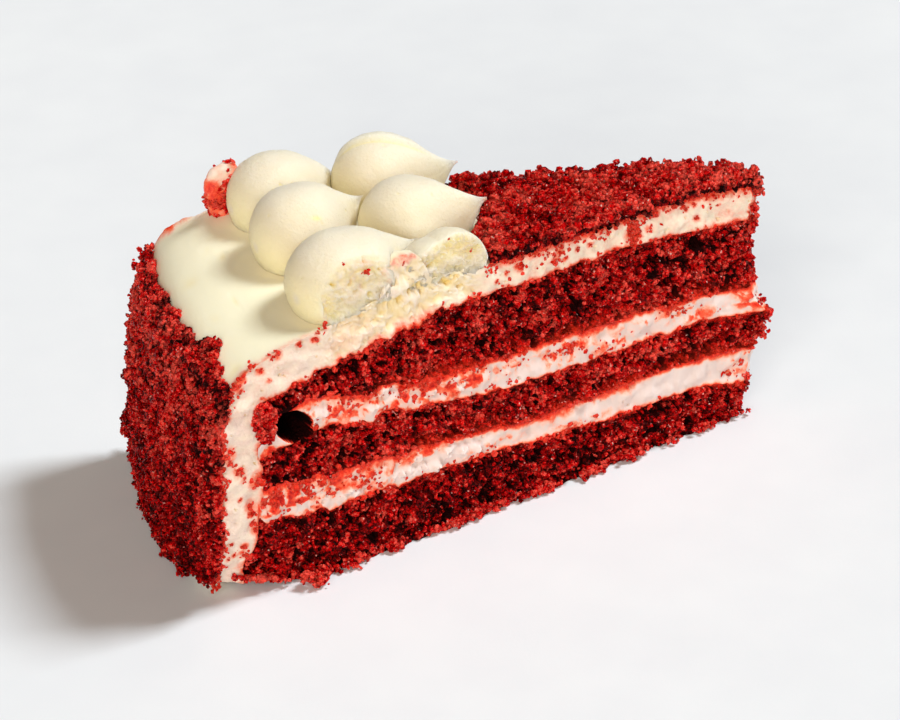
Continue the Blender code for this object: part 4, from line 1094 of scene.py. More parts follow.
def icing_shell(fineness, colours):
    """The icing as one thick sheet: over the top sponge, round the shoulder and down the rim to the base."""
    counts = (fineness.icing_cells, 36, 22)
    (i, j, k), faces, _ = skin(counts)
    u_all = np.linspace(0.0, 1.0, counts[0] + 1)
    v_all = crowded(counts[1])
    w_all = np.linspace(0.0, 1.0, counts[2] + 1)

    def place(u, v, w):
        angle = mix(-HALF_ANGLE, HALF_ANGLE, v)
        outer_r, outer_z = icing_outer(u, angle)
        inner_r, inner_z = icing_inner(u, angle)
        return mix(inner_r, outer_r, w), angle, mix(inner_z, outer_z, w)

    radius, angle, height = place(u_all[i], v_all[j], w_all[k])
    points = radial(radius, angle, height)
    part = across(angle)
    marks = {key: np.zeros(len(i)) for key in MARKS}
    for side, end in ((NEAR, 0.0), (FAR, 1.0)):
        u, w = np.meshgrid(u_all, w_all, indexing="ij")
        r, a, z = place(u, end, w)
        detail, *fields = icing_cut(side, r, z, w, radial(r, a, z), 520 + int(side))
        spare = ease((r - 79.0) / 5.0) * ease((121.0 - r) / 6.0)
        fade = ease(np.minimum(w, 1.0 - w + 0.2 * spare) / 0.12)
        depth = cut_depth(side, r, z, mix(JOINT_RELIEF, CREAM_RELIEF, fade)) + detail * mix(0.3, 1.0, fade)
        weight = part if side == FAR else 1.0 - part
        points = points + (weight * depth[i, k])[:, None] * inward(side)
        keep = np.clip((weight - 0.93) / 0.07, 0.0, 1.0) ** 3
        for key, field in zip(MARKS, fields):
            marks[key] = np.where(weight > 0.93, keep * field[i, k], marks[key])
    v, w = np.meshgrid(v_all, w_all, indexing="ij")
    r, a, z = place(1.0, v, w)
    flat = radial(r, a, z)
    rough, _, _ = torn(flat, 560, 1.6, 0.8)
    push = TIP_BULGE * np.sin(math.pi * v) * TIP_FULLNESS - 0.5 * rough - read(TIP_SHAPE, z, 1.5)
    reach = np.clip(1.0 - (radius - tip_radius(angle)) / TIP_RUN, 0.0, 1.0)
    points[:, 0] += push[j, k] * reach
    smear = 0.45 + 0.5 * soft_noise(flat, 2.0, 570, 2)
    marks["stain"] = np.where(i == counts[0], smear[j, k], marks["stain"])
    bed = ease((read(BED_EDGE, angle) + 1.5 - radius) / 3.0) * (k == counts[2]) * (radius < 90.0)
    marks["stain"] = np.maximum(marks["stain"], 0.7 * bed)
    ragged = part_noise(points, 2.4, 580, 3)
    on_top = (k == counts[2]) * ease((radius - 80.0) / 6.0) * ease((height - 48.0) / 3.0)
    lip = on_top * ease((part - 0.965) / 0.035) * ease((radius - 104.0) / 8.0) * (0.2 + 1.1 * ragged)
    points[:, 2] += 0.8 * lip
    points -= 0.5 * lip[:, None] * inward(FAR)
    bare = 1.0 - ease((radius - 78.0) / 4.0) * ease((122.0 - radius) / 6.0)
    edges = np.maximum(0.3 * lip, 0.26 * bare * on_top * ease((0.045 - part) / 0.045) * (0.4 + ragged))
    marks["stain"] = np.maximum(marks["stain"], edges)
    for dent_radius, dent_angle, size, depth in DENTS:
        spread = ((radius - dent_radius) ** 2 + (np.radians(angle - dent_angle) * radius) ** 2) / size ** 2
        dent = on_top * np.exp(-spread * (0.6 + 0.8 * ragged))
        points[:, 2] -= depth * dent
        # painted shade, tinted yellow, in each dent
        marks["painted_shade"] = np.maximum(marks["painted_shade"], 0.35 * dent)
    # painted shade: the shade tint darkens the pores, holes and dents to a deeper yellow
    material = cream_material("smooth ivory icing", tuple(colours.icing_colour), shadow=(0.93, 0.85, 0.64),
                              rough=0.42, gloss=0.35, pitch=420.0, height=0.00009, soft=0.0012,
                              cut=(0.87, 0.66, 0.60), painted_shade_tint=(0.90, 0.74, 0.30))
    new_piece("icing_shell", points, faces, material, ("icing",), marks)


def sheet(counts):
    """Shares of the way along a box of cells at each place on its skin, with the skin's faces and numbers."""
    places, faces, unique = skin(counts)
    return [np.linspace(0.0, 1.0, count + 1)[place] for count, place in zip(counts, places)], faces, unique


def clump_relief(points, seed, clump, grain):
    """Height of packed crumbs from 0 to about 1: clumps at heights of their own, each covered in grains."""
    loose = bent(points, 0.5, 2.2, seed)
    away, pick = cells(loose, clump, seed + 1)
    mound = np.sqrt(np.clip(1.0 - (away / 0.85) ** 2, 0.0, 1.0)) * (0.45 + 0.55 * pick)
    away_2, pick_2 = cells(loose, grain, seed + 2)
    bead = np.sqrt(np.clip(1.0 - (away_2 / 0.8) ** 2, 0.0, 1.0)) * (0.5 + 0.5 * pick_2)
    return mound, bead, pick, pick_2


def coat_top(angle):
    """Height of the rim coat's ragged upper edge."""
    along = RIM_RADIUS * np.radians(angle)
    points = np.stack(np.broadcast_arrays(along, 0.0), -1)
    return read(COAT_TOP, angle) + 1.1 * soft_noise(points, 4.0, 611, 3)


def coat_place(u, v, w, thickness):
    """Place in the rim coat: u up the rim, v from cut to cut, w out from the icing."""
    angle = mix(-HALF_ANGLE, HALF_ANGLE, v)
    foot = base_height(read(WALL_NEAR, 0.0), angle)
    height = mix(foot, coat_top(angle), u)
    start = wall_radius(np.minimum(height, SHOULDER_LOW), angle)
    over = np.clip((height - SHOULDER_LOW) / (icing_top(SHOULDER_IN, angle) - SHOULDER_LOW), 0.0, 1.0)
    shoulder = start - (start - SHOULDER_IN) * (0.85 * over ** 2 + 0.15 * over ** 8)
    return shoulder + mix(0.05, thickness, w), angle, height + 0.5 * w * over * thickness


def rim_coat(fineness):
    """The crumb coat on the rim: a bumpy sheet on the icing, with clumps of loose grains standing on it."""
    counts = (150, 190, 2)
    (u, v, w), faces, unique = sheet(counts)
    angle = mix(-HALF_ANGLE, HALF_ANGLE, v)
    height = u * COAT_HEIGHT
    mound, bead, pick, pick_2 = clump_relief(radial(RIM_RADIUS, angle, height), *COAT_RELIEF)
    up_edge = np.minimum(height, (1.0 - u) * COAT_HEIGHT)
    edge = ease(np.minimum(up_edge, np.minimum(v, 1.0 - v) * COAT_WIDTH) / 1.6)
    bulge = 1.2 * np.exp(-((angle - 10.0) / 3.6) ** 2 - ((height - 13.0) / 6.0) ** 2)
    thickness = 0.5 + (0.3 + 2.0 * mound + 0.6 * bead) * (0.35 + 0.65 * edge) + bulge * edge
    radius, angle, height = coat_place(u, v, w, thickness)
    points = radial(radius, angle, height)
    weight = 1.0 - across(angle)
    pull = corner_pull(radius, height) + JOINT_RELIEF * (waves(radius, height, RELIEF_PITCH, -1) + 1.0)
    points = points + (weight * pull)[:, None] * inward(NEAR)
    # painted shade between the clumps and beads; painted light: the coat is lighter towards the top of the
    # rim
    painted_shade = 0.8 * (1.0 - mound) + 0.4 * (1.0 - bead)
    shade = 0.5 * pick_2 + 0.3 * pick + 0.6 * ease((height - 10.0) / 40.0) - 0.15
    material = crumb_material("pressed rim crumbs", 0.12)
    new_piece("rim_coat", points, faces, material, ("rim_crumbs",),
              {"painted_shade": painted_shade * 0.85, "shade": shade, "stain": np.zeros(len(u))})
    random = np.random.default_rng(SEED + 200)
    grid = side_grid(points, unique, counts, 2, 1)
    sides = (grid, *(side_grid(points, unique, counts, *side) for side in ((1, 0), (1, 1), (0, 1))))
    parts = [scatter(side, int(fineness.rim_grains * share), random)
             for side, share in zip(sides, (0.74, 0.08, 0.08, 0.10))]
    centres = np.vstack([place + out * random.uniform(-0.25, 0.15, (len(place), 1)) for place, out in parts])
    sizes = 0.26 + 0.46 * random.uniform(size=len(centres)) ** 1.4
    shade = random.uniform(0.0, 0.75, len(centres))
    _, turn = polar(centres[:, 0] - APEX_X, centres[:, 1])
    # Painted light: the grains are lighter towards the top of the rim. They are lighter towards the near cut
    # as well.
    shade = shade + 0.35 * ease((-9.0 - turn) / 4.0) + 0.9 * ease((centres[:, 2] - 12.0) / 36.0) - 0.36
    foot = base_height(read(WALL_NEAR, 0.0), turn)
    level = COAT_HEIGHT * (centres[:, 2] - foot) / (coat_top(turn) - foot)
    mound = clump_relief(radial(RIM_RADIUS, turn, level), *COAT_RELIEF)[0]
    # painted shade on grains low between the clumps and sunk into them
    painted_shade = 0.8 * ease((0.6 - mound) / 0.5)
    clumps, out = scatter(grid, fineness.rim_clumps, random)
    clumps = clumps + out * random.uniform(0.0, 0.5, (len(clumps), 1))
    middles = np.repeat(clumps, CLUMP, axis=0)
    lumps = middles + random.normal(0.0, 1.0, middles.shape) * (0.35, 0.72, 0.72)
    lumps[:, 2] = np.maximum(lumps[:, 2], 0.45)
    sunk = np.linalg.norm(middles[:, :2] - (APEX_X, 0.0), axis=1)
    sunk = sunk - np.linalg.norm(lumps[:, :2] - (APEX_X, 0.0), axis=1)
    painted_shade = np.concatenate((painted_shade, 0.5 * ease(sunk / 0.7)))
    centres = np.vstack((centres, lumps))
    centres[:, 2] = np.maximum(centres[:, 2], 0.35)
    sizes = np.concatenate((sizes, random.uniform(0.26, 0.66, len(lumps))))
    # Painted light: the clumps are lighter towards the top of the rim. They are lighter towards the near cut
    # as well.
    light = random.uniform(0.0, 0.8, len(clumps)) + 0.95 * ease((clumps[:, 2] - 12.0) / 36.0) - 0.36
    light = light + 0.25 * ease((-9.0 - polar(clumps[:, 0] - APEX_X, clumps[:, 1])[1]) / 4.0)
    shade = np.concatenate((shade, np.repeat(light, CLUMP)))
    grain_piece("rim_grains", centres, sizes, crumb_material("rim grains", 0.26, 0.6, 0.7),
                random, shade, painted_shade)


def top_bed(fineness):
    """The crumb bed on top: a bumpy sheet on the icing, with clumps of loose grains heaped on it."""
    counts = (200, 96, 2)
    (u, v, w), faces, unique = sheet(counts)
    angle = mix(-HALF_ANGLE, HALF_ANGLE, v)
    tips = mix(BED_TIPS[0], BED_TIPS[1], v)
    ragged = soft_noise(np.stack((angle, angle * 0.0), -1), 2.0, 660, 2) * 1.2
    radius = mix(read(BED_EDGE, angle) + ragged, tips, u)
    mound, bead, pick, pick_2 = clump_relief(radial(radius, angle, BED_LEVEL), *BED_RELIEF)
    far_edge = np.minimum(v, 1.0 - v) * radius * math.radians(2.0 * HALF_ANGLE)
    back_edge = (1.0 - np.abs(2.0 * u - 1.0)) * BED_LENGTH
    edge = ease(np.minimum(far_edge, back_edge) / 1.8)
    thickness = 0.4 + (0.2 + 2.7 * mound + 0.6 * bead) * (0.4 + 0.6 * edge)
    base = icing_top(radius, angle) + icing_swell(radius, angle) - 0.15
    points = radial(radius, angle, base + w * thickness)
    points[:, 0] += 1.8 * np.clip(1.0 - (radius - tips) / TIP_RUN, 0.0, 1.0)
    for side, weight in ((NEAR, 1.0 - across(angle)), (FAR, across(angle))):
        depth = JOINT_RELIEF * (waves(radius, base, RELIEF_PITCH, int(side)) + 1.0)
        points = points + (weight * depth)[:, None] * inward(side)
    # painted shade between the clumps and beads
    painted_shade = (0.7 * (1.0 - mound) + 0.4 * (1.0 - bead)) * 0.9
    shade = 0.6 * pick_2 + 0.4 * pick
    new_piece("top_bed", points, faces, crumb_material("bed of crumbs", 0.14), ("top_crumbs",),
              {"painted_shade": painted_shade, "shade": shade, "stain": np.zeros(len(u))})
    random = np.random.default_rng(SEED + 210)
    grid = side_grid(points, unique, counts, 2, 1)
    centres, out = scatter(grid, fineness.bed_grains, random)
    centres = centres + out * random.uniform(-0.15, 0.3, (len(centres), 1))
    away, turn = polar(centres[:, 0] - APEX_X, centres[:, 1])
    mound = clump_relief(radial(away, turn, BED_LEVEL), *BED_RELIEF)[0]
    # painted shade on grains low between the clumps and under heaped ones
    painted_shade = ease((0.68 - mound) / 0.5)
    clumps, out = scatter(grid, fineness.bed_clumps, random)
    clumps = clumps + out * random.uniform(0.1, 0.9, (len(clumps), 1))
    lumps = np.repeat(clumps, CLUMP, axis=0) + random.normal(0.0, 0.64, (CLUMP * len(clumps), 3))
    painted_shade = np.concatenate((painted_shade, 0.8 * ease((np.repeat(clumps[:, 2], CLUMP) - lumps[:, 2]) / 0.8)))
    sizes = np.concatenate((random.uniform(0.3, 0.65, len(centres)), random.uniform(0.34, 0.95, len(lumps))))
    single = random.uniform(0.05, 0.8, len(centres)) + 0.35 * ease((centres[:, 0] - 25.0) / 40.0)
    heaped = random.uniform(0.0, 0.95, len(clumps)) + 0.4 * ease((clumps[:, 0] - 25.0) / 40.0)
    shade = np.concatenate((single, np.repeat(heaped, CLUMP)))
    centres = np.vstack((centres, lumps))
    grain_piece("top_grains", centres, sizes, crumb_material("bed grains", 0.41, 1.05, 0.9),
                random, shade, painted_shade)


def polar(x, y):
    """Radius and angle of places given from the cake's centre, with x towards the tip."""
    return np.hypot(x, y), np.degrees(np.arctan2(y, -x))


def kiss_section(kiss, part):
    """Middle line, half width, crest, lowest end and foot of a kiss's sections.

    The ball's sections are circles. Along a pointed tail the crest sinks and the half width shrinks, each
    in an S, and the foot stays on the icing until the tail's end lifts like a fin. A blunt end keeps its
    circles.
    """
    _, centre, tail, radius, top, tail_height, fullness = kiss
    run = np.linalg.norm(np.subtract(tail, centre))
    direction = np.subtract(tail, centre) / run
    along = part * (run + radius) - radius
    rest = np.clip(along / run, 0.0, 1.0)
    ball = np.sqrt(np.clip(radius ** 2 - along ** 2, 0.0, None))
    place = np.array(centre) + along[:, None] * direction
    floor = kiss_floor(place)
    lift = top - radius
    tail_part = along > 0.0
    if fullness:
        crest = np.where(tail_part, mix(top, tail_height + 0.3, ease(rest ** fullness)), lift + ball)
        half = np.where(tail_part, radius * (1.0 - ease(rest ** (0.8 * fullness))) + 0.3 * rest, ball)
        lowest = np.where(tail_part, mix(lift - radius, floor - 1.5, ease(rest)), lift - ball)
        foot = np.maximum(lowest, mix(floor, crest - 0.5, ease((rest - 0.7) / 0.3)))
    else:
        end = radius * (1.0 - rest) ** KISS_BLUNTNESS * (1.0 + KISS_SWELL * rest)
        level = lift + (tail_height - lift) * rest ** KISS_LIFT_POWER
        half = np.where(tail_part, end, ball)
        crest = np.where(tail_part, level + end, lift + ball)
        lowest = np.where(tail_part, level - end, lift - ball)
        foot = np.maximum(lowest, floor)
    return place, direction, half, crest, lowest, foot, rest


def kiss_floor(place):
    """Height of the icing under places given from the cake's centre."""
    radius, angle = polar(place[:, 0], place[:, 1])
    return icing_top(radius, angle) + icing_swell(radius, np.maximum(angle, -7.0)) - 0.05


def soft_least(first, second, width):
    """The smaller of two numbers, rounded where they cross, and how far the second rules, 0 to 1."""
    share = np.clip(0.5 + 0.5 * (first - second) / width, 0.0, 1.0)
    return mix(first, second, share) - width * share * (1.0 - share), share


def kiss_surface(kiss, others, seed):
    """Points of a kiss on rings round its line, cut off by the icing, the two cuts and the kisses beside it.

    Each ring's rays run out from its middle to an ellipse, and stop early at whatever cuts the kiss off. The
    knife's plane is ragged, and its edge is rounded into the ball.
    """
    turns = np.arange(KISS_SIDES) * math.tau / KISS_SIDES
    part = (0.5 - 0.5 * np.cos(np.linspace(0.0, math.pi, KISS_RINGS + 2)[1:-1])) * 0.99 + 0.004
    place, direction, half, crest, lowest, foot, rest = kiss_section(kiss, part)
    sideways = np.array((-direction[1], direction[0]))
    low = -half
    high = half.copy()
    for side in (NEAR, FAR):
        lean = float(np.dot(inward(side)[:2], sideways))
        limit = (0.45 - place @ inward(side)[:2]) / lean
        if lean > 0.0:
            low = np.maximum(low, limit)
        else:
            high = np.minimum(high, limit)
    keep = (high - low > 0.2) & (crest - foot > 0.2)
    place, half, crest, lowest, foot, low, high, rest = (
        values[keep] for values in (place, half, crest, lowest, foot, low, high, rest))
    middle = np.stack(((low + high) / 2.0, (foot + crest) / 2.0), -1)
    spot = np.column_stack((place + middle[:, :1] * sideways, middle[:, 1]))
    ray = np.stack((np.cos(turns), np.sin(turns)), -1)
    ahead = np.column_stack((ray[:, :1] * sideways, ray[:, 1]))
    wide, tall = half[:, None] ** 2, ((crest - lowest)[:, None] / 2.0) ** 2
    above = (middle[:, 1] - (crest + lowest) / 2.0)[:, None]
    a = ray[None, :, 0] ** 2 / wide + ray[None, :, 1] ** 2 / tall
    b = middle[:, :1] * ray[None, :, 0] / wide + above * ray[None, :, 1] / tall
    c = middle[:, :1] ** 2 / wide + above ** 2 / tall - 1.0
    reach = (-b + np.sqrt(np.clip(b * b - a * c, 0.0, None))) / a
    with np.errstate(divide="ignore", invalid="ignore"):
        down = np.where(ray[None, :, 1] < -1e-6, (foot - middle[:, 1])[:, None] / ray[None, :, 1], 99.0)
        left = np.where((ray[None, :, 0] < -1e-6) & (low > -half + 0.01)[:, None],
                        (low - middle[:, 0])[:, None] / ray[None, :, 0], 99.0)
        right = np.where((ray[None, :, 0] > 1e-6) & (high < half - 0.01)[:, None],
                         (high - middle[:, 0])[:, None] / ray[None, :, 0], 99.0)
    knife = np.minimum(np.minimum(left, right), 99.0)
    at_knife = spot[:, None, :] + np.minimum(knife, 12.0)[..., None] * ahead[None]
    knife = knife + np.clip(0.35 * soft_noise(at_knife, 2.6, 680 + seed, 3), -0.6, 0.6)
    reach, cut = soft_least(reach, knife, 1.3)
    contact = np.zeros(reach.shape)
    for centre, ball in others:
        offset = spot - centre
        b = offset @ ahead.T
        square = b * b - ((offset ** 2).sum(1) - ball ** 2)[:, None]
        hit = np.where((square > 0.0) & (b < 0.0), -b - np.sqrt(np.clip(square, 0.0, None)), 99.0)
        reach, share = soft_least(reach, hit, 0.5)
        contact = np.maximum(contact, share)
    reach = np.clip(np.minimum(reach, down), 0.02, None)
    points = spot[:, None, :] + reach[..., None] * ahead[None]
    return points, ahead, cut * (1.0 - contact), contact, rest, turns, reach


def tube_faces(rings, sides):
    """Quads round a stack of rings of points, and triangles from each end ring to its own pole."""
    index = np.arange(rings * sides).reshape(rings, sides)
    after = np.roll(index, -1, axis=1)
    quads = np.stack((index[:-1], after[:-1], after[1:], index[1:]), -1).reshape(-1, 4)
    first = np.full(sides, rings * sides)
    last = first + 1
    start = np.stack((after[0], index[0], first, first), -1)
    end = np.stack((index[-1], after[-1], last, last), -1)
    return quads, np.vstack((start, end))[:, :3]


def tube_piece(name, points, extra, material, nodes, crease):
    """A closed tube of rings made a piece: its ends are drawn to the middle of their rings."""
    rings, sides, _ = points.shape
    quads, caps = tube_faces(rings, sides)
    poles = np.stack((points[0].mean(0), points[-1].mean(0)))
    flat = np.vstack((points.reshape(-1, 3), poles))
    triangles = np.vstack((quads[:, [0, 1, 2]], quads[:, [0, 2, 3]], caps))
    marks = {key: np.concatenate((field.ravel(), (0.0, 0.0))) for key, field in extra.items()}
    return new_piece(name, flat, triangles, material, nodes, marks, crease)


def fold_of(name, points, centre):
    """A thin second fold behind the far inner kiss's top: a step across the ball, and a line of painted shade
    before it.
    """
    if name != "kiss_inner_far":
        return np.zeros(points.shape[:-1]), 0.0
    way = (points - centre) / np.linalg.norm(points - centre, axis=-1, keepdims=True)
    behind = way @ np.array(FOLD_WAY)
    fade = ease((1.0 - np.abs(way[..., 0]) * 1.05) / 0.3) * ease((way[..., 2] - 0.1) / 0.3)
    line_before = 0.6 * np.exp(-((behind - FOLD_LEVEL + 0.02) / 0.025) ** 2) * fade
    return 1.0 * ease((behind - FOLD_LEVEL) / 0.05) * fade, line_before


def kisses(colours):
    """The piped kisses, each a ball drawn out to a tail, the outer ones cut through with the slice."""
    # painted light: the shade tint lifts red and green into a yellow glow in creases, low parts and the
    # shaded side; the darker cut colour is painted shade on the torn faces
    material = cream_material("whipped cream kisses", tuple(colours.kiss_colour), shadow=(0.88, 0.78, 0.53),
                              rough=0.5, gloss=0.22, pitch=1500.0, height=0.0004, soft=0.0050,
                              cut=(0.81, 0.66, 0.47), painted_shade_tint=(1.15, 1.11, 0.62), inner=0.8)
    taken = []
    for number, kiss in enumerate(KISSES):
        name, centre, _, radius, top, _, _ = kiss
        points, ahead, cut, contact, rest, turns, reach = kiss_surface(kiss, taken, number)
        dent, torn_shade = whipped(points + (APEX_X, 0.0, 0.0))
        soft = soft_noise(points, 9.0, 710 + number) * 0.35 + soft_noise(points, 5.0, 720 + number, 2) * 0.2
        soft = soft + soft_noise(points, 1.2, 740 + number, 2) * 0.04
        away, pick = cells(points, 3.1, 750 + number)
        # small pits, dented and given painted shade
        pit = ease((0.05 + 0.10 * pick - away) / 0.05) * (pick > 0.72)
        middle = np.array((*centre, top - radius))
        fold, fold_line = fold_of(name, points, middle)
        soft = soft - 0.3 * pit + fold
        crease = np.exp(-((np.sin(turns[None, :] * 0.5 + 0.6 + 0.4 * number + rest[:, None])) / 0.16) ** 2)
        ridge = 0.3 * crease * ease((rest[:, None] - 0.1) / 0.5) * (1.0 - rest[:, None])
        move = mix(soft - ridge, -dent, ease(cut))
        above = points[..., 2] - kiss_floor(points.reshape(-1, 3)).reshape(points.shape[:-1])
        move = np.clip(move, -0.7 * reach, 1.2) * np.maximum(ease(above / 0.8), cut)
        shaped = points + move[..., None] * ahead[None]
        rise = np.maximum(above, 0.0)
        # painted shade, tinted yellow, just above the icing
        low = (0.4 * np.exp(-rise / 0.9) + 0.2 * np.exp(-rise / 4.0)) * (1.0 - cut)
        way = (points - middle) / np.linalg.norm(points - middle, axis=-1, keepdims=True)
        # painted shade on the side turned away from the light
        shaded = 0.6 * ease((0.35 - way @ np.array(LIT_WAY)) / 1.1) * (1.0 - cut)
        # painted light: a yellow glow in the torn holes, the creases where kisses meet, the low parts and the
        # shaded side
        painted_glow = np.maximum(np.maximum(0.85 * torn_shade * cut, contact), np.maximum(low, shaded))
        ragged = part_noise(points, 1.6, 760 + number, 2)
        wander = part_noise(points, 4.0, 770 + number, 2)
        pink = np.exp(-((cut - 0.75) / 0.35) ** 2) * ragged * ease((wander - 0.3) / 0.4)
        pink = pink * 0.22 * ease(above / 5.0)
        if name in ("kiss_inner_middle", "kiss_inner_far", "kiss_rim_far"):
            pink = np.maximum(pink, 0.34 * ease((rest[:, None] - 0.90) / 0.08) * (0.4 + 0.8 * ragged))
        # painted shade in the small slit of the middle rim kiss
        slit = 0.0
        if name == "kiss_rim_middle":
            off = (way - SLIT_WAY) * radius
            slit = np.exp(-((off[..., 0] / 0.9) ** 2 + ((off[..., 2] + 0.2 * off[..., 0]) / 0.35) ** 2))
        painted_glow = np.maximum(np.maximum(painted_glow, np.maximum(0.3 * pit, slit)), fold_line)
        # painted shade: the torn faces take the darker, yellower cut colour
        marks = {"painted_shade": painted_glow, "shade": 0.8 * cut, "stain": pink}
        tube_piece("piped_" + name, shaped + (APEX_X, 0.0, 0.0), marks, material, (name,), 1.2)
        taken.append((middle, radius + 0.05))


def edge_flake():
    """The flake on the far edge: a curled strip of cream covered in crumbs."""
    heights = np.array([row[0] for row in FLAKE])
    level = np.linspace(heights[0], heights[-1], 46)
    r, length, thick = (np.interp(level, heights, [row[column] for row in FLAKE]) for column in (1, 2, 3))
    turns = np.arange(40) * math.tau / 40
    side = radial(1.0, FAR * HALF_ANGLE, 0.0) - (APEX_X, 0.0, 0.0)
    foot = float(icing_top(FLAKE[0][1], HALF_ANGLE)) + 0.05
    centre = radial(r, FAR * HALF_ANGLE, foot + level) + FLAKE_INSET * inward(FAR)
    ring = centre[:, None, :] + (length[:, None] * np.cos(turns))[..., None] * side
    ring = ring + (thick[:, None] * np.sin(turns))[..., None] * inward(FAR)
    mound, bead, _, pick_2 = clump_relief(ring, 800, 2.0, 0.9)
    middle = ring.mean(axis=1, keepdims=True)
    ring = middle + (ring - middle) * (0.82 + 0.3 * mound + 0.12 * bead)[..., None]
    wander = part_noise(ring, 2.2, 810, 2)
    stain = 0.3 + 0.65 * wander - 0.35 * ease((level - 3.0) / 7.0)[:, None]
    # painted shade between its lumps
    marks = {"painted_shade": 0.3 * (1.0 - mound), "shade": pick_2, "stain": stain}
    material = cream_material("stained flake", (0.95, 0.78, 0.68), shadow=(0.90, 0.60, 0.50), rough=0.35,
                              gloss=0.45, pitch=700.0)
    tube_piece("flake_body", ring, marks, material, ("edge_flake",), 0.9)
    random = np.random.default_rng(SEED + 220)
    closed = np.concatenate((ring, ring[:, :1]), axis=1)
    centres, out = scatter(closed, 900, random)
    ragged = part_noise(centres, 2.4, 820, 2)
    centres = centres[((out[:, 0] < -0.1) | (centres[:, 2] < foot + 4.0)) & (ragged > 0.45)]
    centres = centres + random.normal(0.0, 0.3, centres.shape)
    grain_piece("flake_grains", centres, random.uniform(0.22, 0.6, len(centres)),
                crumb_material("flake grains", 0.5, 0.5, 0.4), random)


def on_near(radius, height, out):
    """Points on the near cut, a little proud of it."""
    return radial(radius, -HALF_ANGLE, height) - np.asarray(out)[..., None] * inward(NEAR)


def loose_crumbs():
    """Single crumbs on the icing, the fillings, the kisses and the joints: small balls scattered by normal
    spreads round each speck, smear, joint and edge of the near cut."""
    random = np.random.default_rng(SEED + 230)
    centres = []
    sizes = []
    for table, depth_of, spread_by in ((ICING_SPECKS, CREAM_RELIEF, 0.75),
                                       (FILLING_SPECKS, CREAM_RELIEF, 0.8), (KISS_SPECKS, 1.0, 0.6)):
        specks = np.array(table)
        depth = cut_depth(NEAR, specks[:, 0], specks[:, 1], depth_of) if depth_of < 1.0 else 0.4
        middle = on_near(specks[:, 0], specks[:, 1], -0.15 * specks[:, 2] - depth)
        spread = (spread_by * specks[:, 2])[:, None, None]
        offset = random.normal(0.0, 1.0, (len(specks), SPECK_GRAINS, 3)) * spread
        offset[:, :, 1] *= 0.25
        centres.append((middle[:, None] + offset).reshape(-1, 3))
        size = np.repeat(specks[:, 2], SPECK_GRAINS)
        sizes.append(size * random.uniform(0.35, 0.75, len(size)))
    for radius, height, run, rise, level in SMEARS:
        count = int(4.5 * level * run * rise / 4.0)
        r = radius + random.normal(0.0, 0.5 * run, count)
        z = height + random.normal(0.0, 0.42 * rise, count)
        lower, upper = (FILLING_2_BASE, FILLING_2_TOP) if height > 26.0 else (FILLING_1_BASE, FILLING_1_TOP)
        inside = (z > read(lower, r) + 0.4) & (z < read(upper, r) - 0.2) & (r > 16.0) & (r < 134.0)
        inside = inside & (hole_share(r, z) < -0.25)
        size = 0.28 + 0.6 * random.uniform(size=int(inside.sum())) ** 2
        r, z = r[inside], z[inside]
        centres.append(on_near(r, z, -0.45 * size - cut_depth(NEAR, r, z, CREAM_RELIEF)))
        sizes.append(size)
    for table in (FILLING_1_BASE, FILLING_1_TOP, FILLING_2_BASE, FILLING_2_TOP, ICING_BASE):
        r = random.uniform(15.0, 133.0, 70)
        z = joint(table, r, -HALF_ANGLE) + random.normal(0.0, 0.4, 70)
        solid = hole_share(r, z) < -0.2
        centres.append(on_near(r, z, random.uniform(-0.6, 0.0, 70))[solid])
        sizes.append(random.uniform(0.28, 0.6, 70)[solid])
    r = 14.0 + 66.0 * random.uniform(size=260)
    z = icing_top(r, -HALF_ANGLE) + 0.2 - random.exponential(0.9, 260)
    streak = 44.0 + random.normal(0.0, 0.8, 40)
    r = np.concatenate((r, streak))
    z = np.concatenate((z, random.uniform(50.5, 56.5, 40)))
    centres.append(on_near(r, z, 0.1 - cut_depth(NEAR, r, z, CREAM_RELIEF)))
    sizes.append(random.uniform(0.2, 0.48, 300))
    z = random.uniform(0.6, 50.0, 220)
    r = wall_radius(z, -HALF_ANGLE) - np.abs(random.normal(0.0, 0.7, 220)) + 0.2
    centres.append(on_near(r, z, 0.1 - cut_depth(NEAR, r, z, JOINT_RELIEF)))
    sizes.append(random.uniform(0.2, 0.5, 220))
    sizes = np.concatenate(sizes)
    shade = random.uniform(0.1, 1.0, len(sizes))
    stain = random.uniform(0.2, 0.9, len(sizes))
    material = crumb_material("loose crumbs", 0.74, 0.4, 0.25, inner=0.5)
    grain_piece("loose_crumbs", np.vstack(centres), sizes, material, random, shade, None, stain)


